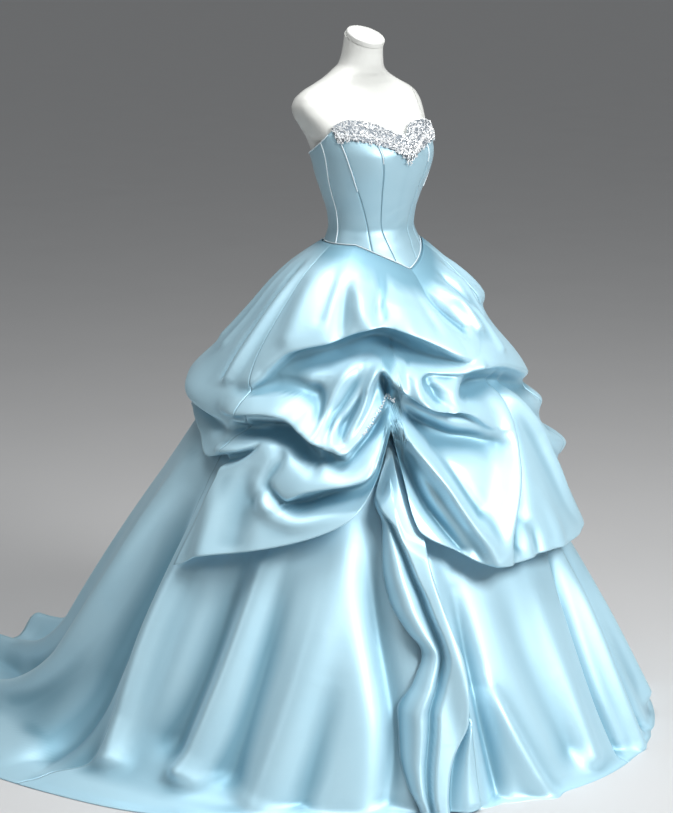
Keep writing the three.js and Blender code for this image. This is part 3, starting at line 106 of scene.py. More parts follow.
# The skirts by angle: how far out the underskirt's foot and hem are and how much it bellies, then
# how far the overskirt puffs out and the share of the puff that it keeps lower down.
skirtPlan = {
    "phi": [-180, -160, -140, -122, -106, -92, -76, -62, -45, -20, 5, 43, 90, 120, 140, 160],
    "foot": [0.755, 0.775, 0.785, 0.78, 0.752, 0.722, 0.692, 0.672, 0.658, 0.652, 0.652, 0.65, 0.65,
        0.676, 0.7, 0.728],
    "belly": [0.034, 0.038, 0.04, 0.038, 0.026, 0.01, 0, 0, 0, 0, 0, 0, 0.006, 0.018, 0.026, 0.032],
    "hem": [1.01, 1.01, 1.11, 1.1, 0.96, 0.872, 0.8, 0.712, 0.666, 0.664, 0.674, 0.662, 0.658, 0.69,
        0.75, 0.88],
    "puff": [0.08, 0.079, 0.077, 0.075, 0.072, 0.07, 0.069, 0.068, 0.066, 0.064, 0.064, 0.064, 0.068,
        0.074, 0.077, 0.079],
    "kept": [0.55, 0.45, 0.34, 0.28, 0.34, 0.72, 1, 1, 1, 1, 1, 1, 0.95, 0.75, 0.65, 0.6],
}


def readTable(table, key, column, at, roundBody=False):
    # a smooth curve from row to row that never overshoots them
    x = np.array(table[key], float)
    y = np.array(table[column], float)
    if x[0] > x[-1]:
        x, y = x[::-1], y[::-1]
    if roundBody:
        order = np.argsort(x)
        x, y = x[order], y[order]
        x = np.concatenate([x - 360, x, x + 360])
        y = np.concatenate([y, y, y])
    chord = np.diff(y) / np.diff(x)
    slope = np.zeros(len(x))
    product = chord[:-1] * chord[1:]
    total = np.where(chord[:-1] + chord[1:] == 0, 1, chord[:-1] + chord[1:])
    slope[1:-1] = np.where(product > 0, 2 * product / total, 0)
    at = np.clip(np.asarray(at, float), x[0], x[-1])
    k = np.clip(np.searchsorted(x, at) - 1, 0, len(x) - 2)
    width = x[k + 1] - x[k]
    t = (at - x[k]) / width
    return ((1 + 2 * t) * (1 - t) ** 2 * y[k] + t * (1 - t) ** 2 * width * slope[k]
            + t * t * (3 - 2 * t) * y[k + 1] + t * t * (t - 1) * width * slope[k + 1])


def smoothStep(at, low, high):
    t = np.clip((at - low) / (high - low), 0, 1)
    return t * t * (3 - 2 * t)


def wrapTurn(phi):
    return (phi + 180) % 360 - 180


def plan(phi, column):
    return readTable(skirtPlan, "phi", column, wrapTurn(phi), True)


def outward(phi):
    turn = np.radians(phi)
    return np.stack([np.sin(turn), -np.cos(turn), np.zeros_like(turn)], -1)


def waistHeight(phi):
    share = np.clip(1 - np.abs(wrapTurn(phi)) / gown["waistPointSpread"], 0, 1)
    return gown["waistZ"] - gown["waistPoint"] * share ** gown["waistPointPower"]


def skirtTop(phi):
    return waistHeight(phi) - gown["seam"]


def necklineHeight(phi):
    level = readTable(neckline, "phi", "z", np.abs(wrapTurn(phi)))
    return level - gown["necklineTilt"] * np.sin(np.radians(phi))


def torsoPoint(phi, z, out=0.0, bustOut=None):
    # a point of the body's surface, `out` clear of it
    phi, z = np.broadcast_arrays(np.asarray(phi, float), np.asarray(z, float))
    halfWidth, halfDepth, back, square = (readTable(torsoSections, "z", column, z)
                                          for column in ("halfWidth", "halfDepth", "back", "square"))
    way = outward(phi)
    across, deep = np.abs(way[..., 0]) / halfWidth, np.abs(way[..., 1]) / halfDepth
    radius = (across ** square + deep ** square) ** (-1 / square)
    upDown = ((z - bust["z"]) / bust["height"]) ** 2
    cups = sum(np.exp(-((wrapTurn(phi) - side) / bust["spread"]) ** 2 - upDown)
               for side in (-bust["side"], bust["side"]))
    radius = radius + (bust["out"] if bustOut is None else bustOut) * cups + out
    point = way * radius[..., None]
    point[..., 1] += back
    point[..., 2] = z
    return point


def smoothPath(path, steps=7):
    # a rounded line through the points of a path, in this many steps from each to the next
    points = np.array([path[0]] + list(path) + [path[-1]], float)
    line = []
    for k in range(1, len(points) - 2):
        for t in np.linspace(0, 1, steps, endpoint=False):
            a, b, c, d = points[k - 1:k + 3]
            line.append(0.5 * (2 * b + (c - a) * t + (2 * a - 5 * b + 4 * c - d) * t * t
                               + (3 * b - a - 3 * c + d) * t ** 3))
    return np.array(line + [points[-2]])


def foldsAt(folds, phi, height, flat):
    # how far all folds together stand out and hang down; `flat` gives metres around and up over the cloth
    rise, droop = np.zeros(phi.shape), np.zeros(phi.shape)
    radius, up = flat(phi, height)
    for above, below, hang, path in folds:
        line = smoothPath(path)
        middle = np.mean([point[0] for point in path])
        lineRadius, lineUp = flat(line[:, 0], line[:, 1])
        lineX = np.radians(line[:, 0] - middle) * lineRadius
        reach = gown["foldReach"] * max(above, below)
        x = np.radians(wrapTurn(phi - middle)) * radius
        near = ((x > lineX.min() - reach) & (x < lineX.max() + reach)
                & (up > lineUp.min() - reach) & (up < lineUp.max() + reach))
        if not near.any():
            continue
        px, py = x[near], up[near]
        nearest, value = np.full(px.shape, np.inf), np.zeros(px.shape)
        for k in range(len(line) - 1):
            dx, dy = lineX[k + 1] - lineX[k], lineUp[k + 1] - lineUp[k]
            offX, offY = px - lineX[k], py - lineUp[k]
            t = np.clip((offX * dx + offY * dy) / (dx * dx + dy * dy + 1e-12), 0, 1)
            distance = np.hypot(offX - t * dx, offY - t * dy)
            aside = (dx * offY - dy * offX) / (np.hypot(dx, dy) * distance + 1e-9)
            share = smoothStep(aside, -1, 1)
            width = below + (above - below) * share
            power = 2 + gown["rollOver"] * hang * (1 - share)
            out = (line[k, 2] + (line[k + 1, 2] - line[k, 2]) * t) * np.exp(-(distance / width) ** power)
            closer = distance < nearest
            nearest, value = np.where(closer, distance, nearest), np.where(closer, out, value)
        rise[near] += value
        droop[near] += value * hang
    return rise, droop


def underBase(phi, height):
    # the underskirt without its folds: a cone from the waist to the foot, then the floor; a height
    # below nothing is a length along the floor. Also how far it has lain down, and the length gone.
    phi, height = np.broadcast_arrays(np.asarray(phi, float), np.asarray(height, float))
    top, foot, hem = skirtTop(phi), plan(phi, "foot"), plan(phi, "hem")
    way = outward(phi)
    start = torsoPoint(phi, top, gown["ease"] + gown["satin"])
    end = way * foot[..., None]
    coneLength = np.hypot(foot - np.hypot(start[..., 0], start[..., 1]), top)
    bend = np.minimum(gown["fillet"], np.maximum(hem - foot, gown["filletLeast"]))
    gone = np.where(height >= 0, coneLength * (1 - height / top), coneLength - height)

    def onCone(w):
        return start + (end - start) * (w / coneLength)[..., None]

    def onFloor(w):
        return end + way * (w - coneLength)[..., None]

    bent = np.clip((gone - coneLength + bend) / (2 * bend), 0, 1)
    point = np.where((gone < coneLength)[..., None], onCone(gone), onFloor(gone))
    curve = (onCone(coneLength - bend) * ((1 - bent) ** 2)[..., None]
             + end * (2 * bent * (1 - bent))[..., None]
             + onFloor(coneLength + bend) * (bent ** 2)[..., None])
    point = np.where(((bent > 0) & (bent < 1))[..., None], curve, point)
    belly = plan(phi, "belly") * np.sin(np.pi * np.clip(gone / coneLength, 0, 1)) ** gown["bellyPower"]
    return point + way * belly[..., None], bent * smoothStep(hem - foot, gown["lieFrom"], gown["lieTo"]), gone


def underFlat(phi, height):
    point, _, gone = underBase(phi, height)
    return np.hypot(point[..., 0], point[..., 1]), -gone


def underPoint(phi, height):
    point, lying, _ = underBase(phi, height)
    rise = foldsAt(underFolds, phi, height, underFlat)[0]
    turn = lying * np.pi / 2
    point = point + outward(phi) * (rise * np.cos(turn))[..., None]
    floor = gown["satin"] * smoothStep(lying, gown["thickFrom"], gown["thickTo"])
    point[..., 2] = np.maximum(point[..., 2] + rise * np.sin(turn), floor)
    return point


def overBase(phi, z):
    # the underskirt behind the overskirt, how far the overskirt swells from it, and the drop from the waist
    down = np.maximum(waistHeight(phi) - z, 0)
    kept = plan(phi, "kept")
    drawn = kept + (1 - kept) * smoothStep(z, gown["drawnTo"], gown["drawnFrom"])
    swell = gown["satin"] + gown["seam"] + plan(phi, "puff") * drawn * (1 - np.exp(-down / gown["puffRun"]))
    under = underBase(phi, np.minimum(z, skirtTop(phi)))[0]
    return under, swell, down


def overFlat(phi, z):
    under, swell, _ = overBase(phi, z)
    return np.hypot(under[..., 0], under[..., 1]) + swell, z * gown["overDrop"]


def overPoint(phi, z):
    # the folds are kept clear of the underskirt's own, by a limit that comes in softly
    under, swell, down = overBase(phi, z)
    rise, droop = foldsAt(overFolds, phi, z, overFlat)
    free = smoothStep(down, gown["freeFrom"], gown["freeTo"])
    beneath = np.maximum(foldsAt(underFolds, phi, z, underFlat)[0], -gown["deepestBeneath"])
    least = gown["satin"] + gown["seam"] + (beneath + gown["clearOfUnderskirt"]) * free
    spare = (swell + rise * free - least) / gown["softness"]
    clear = 20  # past this the limit isn't felt
    soft = np.where(spare > clear, spare, np.log1p(np.exp(np.minimum(spare, clear))))
    out = least + gown["softness"] * soft
    out = swell + (out - swell) * free
    point = under + outward(phi) * out[..., None]
    point[..., 2] = z - droop * free
    return point


# Folds: width above, width below, how much it hangs, and a path of (phi, height, how far it stands
# out). Above is on the left hand of a path's run, so it is above one that runs to the wearer's left.
def inMetres(folds):
    return [(above / 1000, below / 1000, hang, [(phi, up / 1000, out / 1000) for phi, up, out in path])
            for above, below, hang, path in folds]


overFolds = inMetres([
    (105, 24, 0.7, [(-95, 800, 8), (-90, 840, 22), (-82, 904, 32), (-73, 930, 36), (-61, 948, 40),
     (-50, 972, 44), (-38, 986, 46), (-26, 974, 44), (-11, 944, 40), (-3, 918, 30), (4, 890, 12)]),
    (26, 38, 0, [(-82, 844, -12), (-71, 872, -28), (-60, 890, -42), (-50, 904, -52), (-40, 914, -58),
     (-30, 906, -56), (-18, 884, -46), (-8, 866, -30), (0, 856, -12)]),
    (16, 30, 0, [(-66, 842, 4), (-56, 856, 10), (-46, 870, 12), (-32, 872, 12), (-18, 858, 6)]),
    (95, 28, 0.25, [(-12, 815, 8), (-10, 836, 26), (-4, 857, 38), (5, 869, 46), (15, 868, 50),
     (30, 845, 48), (44, 818, 42), (54, 802, 34), (66, 800, 24), (80, 806, 8)]),
    (14, 26, 0, [(-8, 800, -8), (-1, 806, -26), (8, 812, -30), (20, 806, -26), (34, 784, -20),
     (48, 752, -14)]),
    (12, 14, 0.3, [(4, 872, 12), (-3, 862, 22), (-12, 863, 26), (-19, 866, 28), (-24, 858, 30),
     (-25, 842, 28), (-24, 824, 26), (-20, 806, 24), (-14, 790, 14)]),
    (17, 17, 0, [(-19.5, 834, -16), (-17.5, 816, -34), (-14.5, 800, -26)]),
    (10, 10, 0, [(-37.8, 874, 8), (-40.6, 858, 26), (-42.8, 834, 30), (-45, 793, 26), (-48, 758, 22),
     (-50.5, 734, 14), (-51.5, 716, 5)]),
    (8, 8, 0, [(-38, 850, -8), (-37, 832, -28), (-36.2, 812, -26), (-35.8, 798, -10)]),
    (8, 7, 0, [(-35.6, 790, -8), (-38.3, 766, -16), (-41.8, 742, -16), (-45.6, 718, -10),
     (-48.5, 700, -4)]),
    (13, 13, 0, [(-48.5, 880, 3), (-53, 846, 9), (-57, 798, 12), (-58.5, 762, 12), (-60, 744, 5)]),
    (10, 10, 0, [(-45.5, 862, -3), (-49, 822, -9), (-52.3, 788, -10), (-55.8, 757, -5)]),
    (10, 10, 0, [(-43.5, 872, 3), (-47, 822, 10), (-51, 784, 13), (-53.8, 762, 14), (-54, 740, 12),
     (-52, 720, 5)]),
    (8, 8, 0, [(-44.8, 815, -4), (-47.8, 780, -12), (-50.6, 750, -12), (-51.4, 730, -6)]),
    (10, 10, 0, [(-25.5, 874, -3), (-28, 850, -9), (-28.3, 822, -5)]),
    (22, 22, 0, [(-60, 850, -4), (-64, 810, -12), (-68, 786, -8)]),
    (30, 17, 0.4, [(-37.8, 874, 8), (-35, 866, 26), (-32, 845, 34), (-28, 830, 40), (-24, 820, 42),
     (-18, 807, 44), (-12, 795, 42), (-4, 776, 34), (3, 744, 20), (8, 728, 8)]),
    (17, 36, 0, [(-31, 782, -16), (-26.5, 758, -44), (-20, 736, -54), (-12, 716, -48), (-4, 706, -34),
     (5, 690, -12)]),
    (20, 9, 0.3, [(-64, 758, 6), (-60, 744, 20), (-56, 726, 28), (-50.5, 714, 30), (-47.5, 730, 26),
     (-43.5, 758, 20), (-39, 792, 8)]),
    (9, 20, 0, [(-61, 722, -10), (-56, 700, -20), (-50, 688, -24), (-46, 706, -18), (-41.5, 738, -14),
     (-38.5, 766, -10)]),
    (22, 15, 0.5, [(-96, 762, 12), (-91, 774, 34), (-86, 783, 42), (-78, 791, 46), (-71, 787, 46),
     (-65, 766, 42), (-60, 748, 32), (-56, 730, 12)]),
    (20, 10, 0, [(-93, 806, -5), (-85, 813, -14), (-77, 820, -18), (-68, 814, -18), (-62.5, 800, -14),
     (-60, 776, -10), (-59.5, 756, -5)]),
    (14, 20, 0, [(-92, 722, -18), (-86, 727, -46), (-80, 730, -58), (-74, 731, -60), (-69, 719, -54),
     (-64, 701, -44), (-59, 684, -20)]),
    (7, 7, 0, [(-92, 738, 6), (-87, 731, 16), (-80, 728, 9)]),
    (11, 9, 0.3, [(-79.5, 712, 6), (-84, 694, 18), (-90, 684, 22), (-95, 676, 12)]),
    (8, 18, 0, [(-81, 692, -10), (-86, 666, -22), (-92, 650, -22), (-97, 642, -8)]),
    (14, 14, 0, [(-75, 712, -4), (-71, 680, -10), (-73, 640, -8), (-76, 590, -5)]),
    (30, 30, 0, [(-92, 620, 4), (-88, 560, 12), (-86, 480, 14)]),
    (34, 34, 0, [(-80, 660, -4), (-79, 600, -12), (-78, 510, -10)]),
    (54, 11, 0.3, [(-67, 600, 10), (-62, 628, 28), (-56, 645, 40), (-48, 657, 46), (-43, 670, 44),
     (-40.3, 692, 38), (-38.2, 722, 24), (-36.8, 745, 8)]),
    (13, 28, 0, [(-66, 587, -10), (-60, 597, -28), (-53, 611, -42), (-46, 620, -48), (-42, 634, -48),
     (-39.5, 662, -40), (-38, 700, -24)]),
    (14, 26, 0.2, [(-76, 622, 4), (-72, 594, 11), (-66, 574, 15), (-61, 570, 15), (-56, 585, 11),
     (-51, 606, 4)]),
    (11, 13, 0, [(-72, 620, -8), (-68, 599, -17), (-63, 589, -17), (-59, 594, -8)]),
    (34, 13, 0, [(-35, 756, 8), (-31.3, 744, 34), (-28.5, 710, 46), (-24.5, 670, 48), (-20.5, 628, 46),
     (-17.5, 586, 42), (-14.5, 544, 38), (-11.5, 505, 32), (-10, 474, 24)]),
    (13, 15, 0, [(-32, 706, -16), (-29.5, 655, -38), (-26, 596, -42), (-22.5, 556, -34),
     (-17.5, 500, -18)]),
    (20, 20, 0, [(-21, 700, -10), (-16, 640, -16), (-11, 570, -12)]),
    (10, 34, 0, [(17, 826, 6), (15, 780, 18), (12.5, 715, 28), (8, 645, 32), (2, 575, 30), (-3, 510, 20),
     (-5, 462, 12)]),
    (24, 11, 0, [(19.5, 800, -6), (18, 760, -18), (15.6, 705, -24), (11, 636, -24), (5.5, 560, -20),
     (0, 490, -12)]),
    (12, 26, 0, [(24, 812, 8), (28.5, 752, 20), (31.5, 690, 25), (32.5, 610, 25), (33, 530, 16),
     (37, 480, 8)]),
    (17, 17, 0, [(7, 530, -3), (8, 500, -9), (7, 462, -9)]),
    (26, 26, 0, [(18, 560, 3), (18, 505, 8), (17, 462, 8)]),
    (34, 32, 0, [(36, 762, 8), (44, 742, 24), (52, 728, 32), (62, 720, 34), (76, 726, 28), (92, 742, 12)]),
    (16, 20, 0, [(44, 672, -12), (58, 664, -20), (76, 670, -18)]),
    (46, 32, 0, [(33, 700, 6), (39, 670, 20), (47, 638, 34), (58, 618, 42), (72, 614, 36), (90, 628, 14)]),
    (20, 24, 0, [(46, 566, -8), (60, 552, -18), (76, 556, -16)]),
    (60, 32, 0.25, [(46, 990, 6), (56, 976, 24), (72, 966, 32), (92, 964, 30), (110, 968, 24),
     (124, 980, 8)]),
    (100, 90, 0, [(-152, 950, -10), (-134, 946, -22), (-118, 950, -20), (-104, 968, -8)]),
    (20, 34, 0, [(52, 904, -8), (68, 896, -16), (90, 892, -18), (114, 900, -10)]),
    (12, 12, 0, [(44, 1070, -2), (46, 1010, -16), (47, 950, -8)]),
    (14, 14, 0, [(38, 1066, 3), (38, 1010, 14), (37, 950, 7)]),
    (14, 14, 0, [(56, 1076, 3), (58, 1020, 12), (60, 980, 7)]),
    (16, 22, 0, [(-96, 1082, 2), (-97, 1000, 15), (-98, 900, 18), (-100, 830, 16)]),
    (12, 12, 0, [(-103, 1080, -3), (-104.5, 1000, -18), (-105, 900, -24), (-104, 830, -14)]),
    (44, 26, 0.4, [(-158, 804, 14), (-143, 812, 22), (-128, 808, 22), (-115, 778, 24), (-107, 748, 20),
     (-101, 706, 8)]),
    (14, 20, 0, [(-142, 744, -10), (-126, 748, -20), (-112, 742, -26), (-104, 726, -24), (-97, 712, -12)]),
    (90, 24, 0.6, [(-210, 884, 8), (-198, 868, 30), (-180, 862, 36), (-162, 868, 30), (-150, 884, 8)]),
    (20, 44, 0, [(-204, 812, -20), (-192, 800, -40), (-180, 792, -46), (-168, 800, -40), (-156, 812, -20)]),
    (50, 20, 0.5, [(-206, 716, 10), (-194, 700, 36), (-180, 690, 42), (-166, 700, 36), (-154, 716, 10)]),
    (18, 30, 0, [(-196, 656, -10), (-180, 648, -14), (-164, 656, -10)]),
    (18, 18, 0, [(-118, 1080, 2), (-119, 980, 12), (-119, 880, 10)]),
    (18, 18, 0, [(-134, 1078, 2), (-136, 980, 14), (-137, 880, 12)]),
    (14, 14, 0, [(-150, 1080, -3), (-150, 990, -14), (-149, 900, -12)]),
    (16, 16, 0, [(-172, 1084, 3), (-172, 1000, 14), (-171, 910, 10)]),
    (80, 22, 0.6, [(98, 800, 12), (110, 806, 34), (125, 802, 44), (142, 796, 38), (156, 806, 14)]),
    (16, 40, 0, [(100, 742, -24), (112, 740, -44), (126, 734, -46), (142, 736, -30)]),
    (20, 20, 0, [(118, 730, 6), (117, 680, 16), (115, 620, 10)]),
    (22, 22, 0, [(140, 726, 6), (139, 680, 14), (137, 620, 10)]),
    (14, 14, 0, [(128, 1080, -3), (130, 1000, -14), (132, 900, -10)]),
    (16, 16, 0, [(150, 1082, 3), (151, 1000, 14), (152, 910, 10)]),
    (26, 26, 0, [(-83, 1082, 3), (-81, 1020, 12), (-79, 945, 10)]),
    (14, 14, 0, [(-70, 1076, -2), (-68, 1030, -8), (-67, 985, -5)]),
    (18, 18, 0, [(-59, 1062, -3), (-57.5, 1005, -17), (-55, 935, -12)]),
    (19, 19, 0, [(-50, 1066, 3), (-46.5, 1006, 16), (-40, 955, 10)]),
    (9, 9, 0, [(-38, 1046, -3), (-39, 1018, -10), (-40, 992, -4)]),
    (22, 22, 0, [(-27, 1046, 2), (-26, 1000, 9), (-25, 955, 8)]),
    (12, 12, 0, [(-12, 1036, -2), (-11, 1000, -8), (-10, 965, -5)]),
    (10, 14, 0, [(-3, 1034, -6), (1, 998, -24), (7, 950, -16)]),
    (18, 15, 0, [(8, 1036, 6), (14, 1002, 27), (17, 945, 17)]),
    (11, 11, 0, [(24, 1056, -4), (27, 1020, -24), (28, 975, -12)]),
    (15, 15, 0, [(29, 1060, 3), (28, 985, 14), (23, 895, 10)]),
])

underFolds = inMetres([
    (40, 30, 0, [(-71, 520, 2), (-72, 440, 20), (-74.5, 220, 32), (-77, 40, 34)]),
    (40, 40, 0, [(-80, 480, -6), (-80, 300, -22), (-82, 100, -24)]),
    (30, 30, 0, [(-66, 460, -4), (-67, 300, -18), (-69, 60, -20)]),
    (50, 40, 0, [(-50, 560, 2), (-56, 300, 20), (-62, 20, 26)]),
    (36, 36, 0, [(-43, 560, -6), (-40, 360, -30), (-36.5, 160, -30), (-38, 20, -22)]),
    (30, 30, 0, [(-50, 240, -2), (-52, 120, -14), (-54, 10, -18)]),
    (26, 26, 0, [(-27, 560, 2), (-25, 400, 20), (-22, 200, 26), (-22, 20, 20)]),
    (22, 22, 0, [(-19, 400, -4), (-18, 250, -24), (-17, 60, -26), (-17, 10, -20)]),
    (24, 34, 0, [(-15, 220, 4), (-13.5, 170, 26), (-9, 40, 30), (-7, 0, 26)]),
    (40, 40, 0, [(-3, 440, -2), (-2, 260, -12), (2, 60, -18)]),
    (34, 30, 0, [(9, 430, 2), (8, 240, 12), (7, 40, 18)]),
    (18, 16, 0, [(24, 430, -6), (20, 300, -28), (17, 130, -30), (17, 10, -24)]),
    (24, 24, 0, [(30, 440, 6), (27, 300, 28), (24, 130, 32), (23, 10, 30)]),
    (20, 20, 0, [(36, 440, -6), (34.5, 280, -26), (33, 100, -28), (33, 10, -24)]),
    (30, 30, 0, [(43, 440, 4), (42.5, 260, 26), (42, 60, 32)]),
    (20, 20, 0, [(51, 440, -4), (52, 260, -20), (52, 60, -24)]),
    (32, 32, 0, [(60, 440, 2), (61, 240, 24), (61, 20, 32)]),
    (28, 28, 0, [(71, 440, -2), (72, 240, -22), (72, 20, -26)]),
    (34, 34, 0, [(82, 460, 2), (82, 240, 24), (81, 20, 32)]),
    (34, 34, 0, [(92, 460, -2), (92, 240, -22), (91, 20, -26)]),
    (40, 40, 0, [(103, 520, 2), (103, 260, 24), (102, 0, 34), (102, -60, 22)]),
    (36, 36, 0, [(119, 540, -2), (119, 260, -22), (118, 0, -30)]),
    (44, 44, 0, [(135, 560, 2), (135, 260, 24), (136, 0, 38), (137, -90, 26)]),
    (40, 40, 0, [(150, 560, -2), (150, 260, -22), (151, 0, -30)]),
    (34, 40, 0, [(-94, 620, 6), (-95, 480, 34), (-95, 300, 42), (-93, 120, 40), (-91, 20, 30)]),
    (44, 50, 0, [(-103, 560, -10), (-104, 400, -40), (-105, 240, -44), (-104, 60, -40), (-103, -60, -24)]),
    (50, 44, 0, [(-112, 640, 4), (-113.5, 500, 34), (-114.5, 360, 46), (-118, 190, 50), (-126, 20, 46),
     (-134, -120, 38), (-139, -260, 26)]),
    (46, 46, 0, [(-122, 520, -4), (-125, 320, -26), (-132, 120, -34), (-140, -40, -28), (-146, -160, -18)]),
    (36, 40, 0, [(-136, 560, 2), (-138, 300, 26), (-143, 80, 44), (-149, -80, 50), (-153, -230, 46)]),
    (28, 28, 0, [(-147, 540, -2), (-149, 260, -24), (-154, 40, -32), (-158, -120, -20)]),
    (36, 36, 0, [(-158, 560, 2), (-159, 280, 24), (-161, 40, 42), (-163, -220, 50)]),
    (28, 28, 0, [(-167, 560, -2), (-167.5, 260, -22), (-168, 40, -28), (-169, -120, -16)]),
    (38, 38, 0, [(-176, 560, 2), (-176, 280, 24), (-176, 40, 44), (-175, -220, 52)]),
    (30, 30, 0, [(-186, 560, -2), (-186, 260, -22), (-185, 40, -28), (-184, -120, -16)]),
    (44, 44, 0, [(-197, 560, 2), (-195, 280, 24), (-193, 20, 44), (-191, -180, 48)]),
])


def newObject(name, mesh, material=None):
    piece = bpy.data.objects.new(name, mesh)
    bpy.context.collection.objects.link(piece)
    if material:
        mesh.materials.append(material)
    return piece


def meshOf(name, bm, smooth=False):
    mesh = bpy.data.meshes.new(name)
    bm.to_mesh(mesh)
    bm.free()
    if smooth:
        mesh.polygons.foreach_set("use_smooth", [True] * len(mesh.polygons))
    return mesh


def laidGrid(columns, rows, pointAt):
    # a bmesh grid laid on the form that pointAt(u, v) gives; u runs to the wearer's left, v down
    bm = bmesh.new()
    bmesh.ops.create_grid(bm, x_segments=columns, y_segments=rows, size=0.5)
    bm.verts.ensure_lookup_table()
    flat = np.array([vert.co[:2] for vert in bm.verts]) + 0.5
    places = pointAt(flat[:, 0], 1 - flat[:, 1])
    for vert, place in zip(bm.verts, places):
        vert.co = place
    return bm, flat, places


def shareOut(values, reach):
    # each value shared out over its neighbours, `reach` of them to each side, along both ways of the grid
    for axis in (0, 1):
        padded = np.pad(values, [(reach + 1, reach) if k == axis else (0, 0) for k in (0, 1)], mode="edge")
        total = np.cumsum(padded, axis=axis)
        upper = np.take(total, range(2 * reach + 1, total.shape[axis]), axis=axis)
        values = (upper - np.take(total, range(upper.shape[axis]), axis=axis)) / (2 * reach + 1)
    return values


def paintedShadeAmount(places, columns, rows):
    # painted shade: 0 on the crests and 1 deep in the folds, where the satin's colour is darkened to stand
    # for the shade that falls in them
    radius = np.hypot(places[:, 0], places[:, 1]).reshape(rows + 1, columns + 1)
    deep = np.zeros(radius.shape)
    for share, depth in gown["paintedShadeHollows"]:
        reach = max(2, int(share * (rows + columns)))
        deep = np.maximum(deep, (shareOut(shareOut(radius, reach), reach) - radius) / depth)
    # the side edges get a set share of painted shade, for the dark line of each seam
    deep[:, 0] = deep[:, -1] = gown["seamShade"]
    return np.clip(deep, 0, 1).ravel()


def clothGrid(name, columns, rows, pointAt, material):
    # a sheet of cloth, with its weave laid out as a UV map and its painted shade, in the folds and at the
    # seams, as an attribute
    bm, flat, places = laidGrid(columns, rows, pointAt)
    mesh = meshOf(name, bm, True)
    paintedShade = mesh.attributes.new("paintedShade", "FLOAT", "POINT")
    paintedShade.data.foreach_set("value", paintedShadeAmount(places, columns, rows))
    layer = mesh.uv_layers.new(name="cloth")
    loopVerts = np.zeros(len(mesh.loops), int)
    mesh.loops.foreach_get("vertex_index", loopVerts)
    layer.data.foreach_set("uv", flat[loopVerts].ravel())
    piece = newObject(name, mesh, material)
    shell = piece.modifiers.new("cloth thickness", "SOLIDIFY")
    shell.thickness = gown["shellThick"]
    shell.offset = -1
    shell.use_even_offset = False
    return piece


def settle(phiOf, heightOf, u, startHeight, rounds=8):
    # the height depends on the angle and the angle on the height, so a few rounds settle both
    height = np.full(u.shape, startHeight)
    for turn in range(rounds):
        phi = phiOf(u, height)
        height = heightOf(phi)
    return phi, height


def edgeLine(table, side=1):
    # the angle of a seam or an edge at each height, mirrored to the other side by -1
    return lambda z: side * readTable(table, "z", "phi", z)


def centreBack(side):
    return lambda z: side * 180 + 0 * z


def between(fromPhi, toPhi):
    return lambda u, z: fromPhi(z) + (toPhi(z) - fromPhi(z)) * u


def seamGap(phi, u, wide):
    # draws both side edges of a sheet back from their seams
    ends = (u < 1e-6).astype(float) - (u > 1 - 1e-6)
    return outward(phi + 90) * (wide * ends)[..., None]


def joinInputs(tree, node, values=(), sources=()):
    # sets a node's values, and joins its other inputs to pairs of node and output
    for socket, value in dict(values).items():
        node.inputs[socket].default_value = value
    for socket, (source, output) in dict(sources).items():
        tree.links.new(source.outputs[output], node.inputs[socket])
    return node


def addNode(tree, kind, values=(), sources=(), **settings):
    node = tree.nodes.new("ShaderNode" + kind)
    for key, value in settings.items():
        setattr(node, key, value)
    return joinInputs(tree, node, values, sources)


def newMaterial(name):
    material = bpy.data.materials.new(name)
    material.use_nodes = True
    tree = material.node_tree
    return material, tree, tree.nodes["Principled BSDF"]


satinLook = {
    "light": (0.52, 0.77, 0.88, 1),
    "deep": (0.44, 0.70, 0.83, 1),
    "paintedFoldShade": (0.10, 0.29, 0.40, 1),  # painted shade: the dark colour the satin is mixed towards in its folds and at its seams
    "paintedShadeShare": 0.7,
    "roughness": 0.40,
    "uneven": 0.08,  # how much rougher between the floats
    "floatScale": 900,
    "floatRun": 0.12,  # the floats lie along the drop of the cloth
    "floatDetail": 2,
    "clouds": {"Scale": 7, "Detail": 4},
    "rumples": {"Scale": 16, "Detail": 3, "Distortion": 0.6},
    "weaveHeight": 0.00002,
    "rumpleHeight": 0.0005,
    "metallic": 0.28,
    "sheen": 0.15,
    "sheenRoughness": 0.4,
    "specular": 0.6,
}


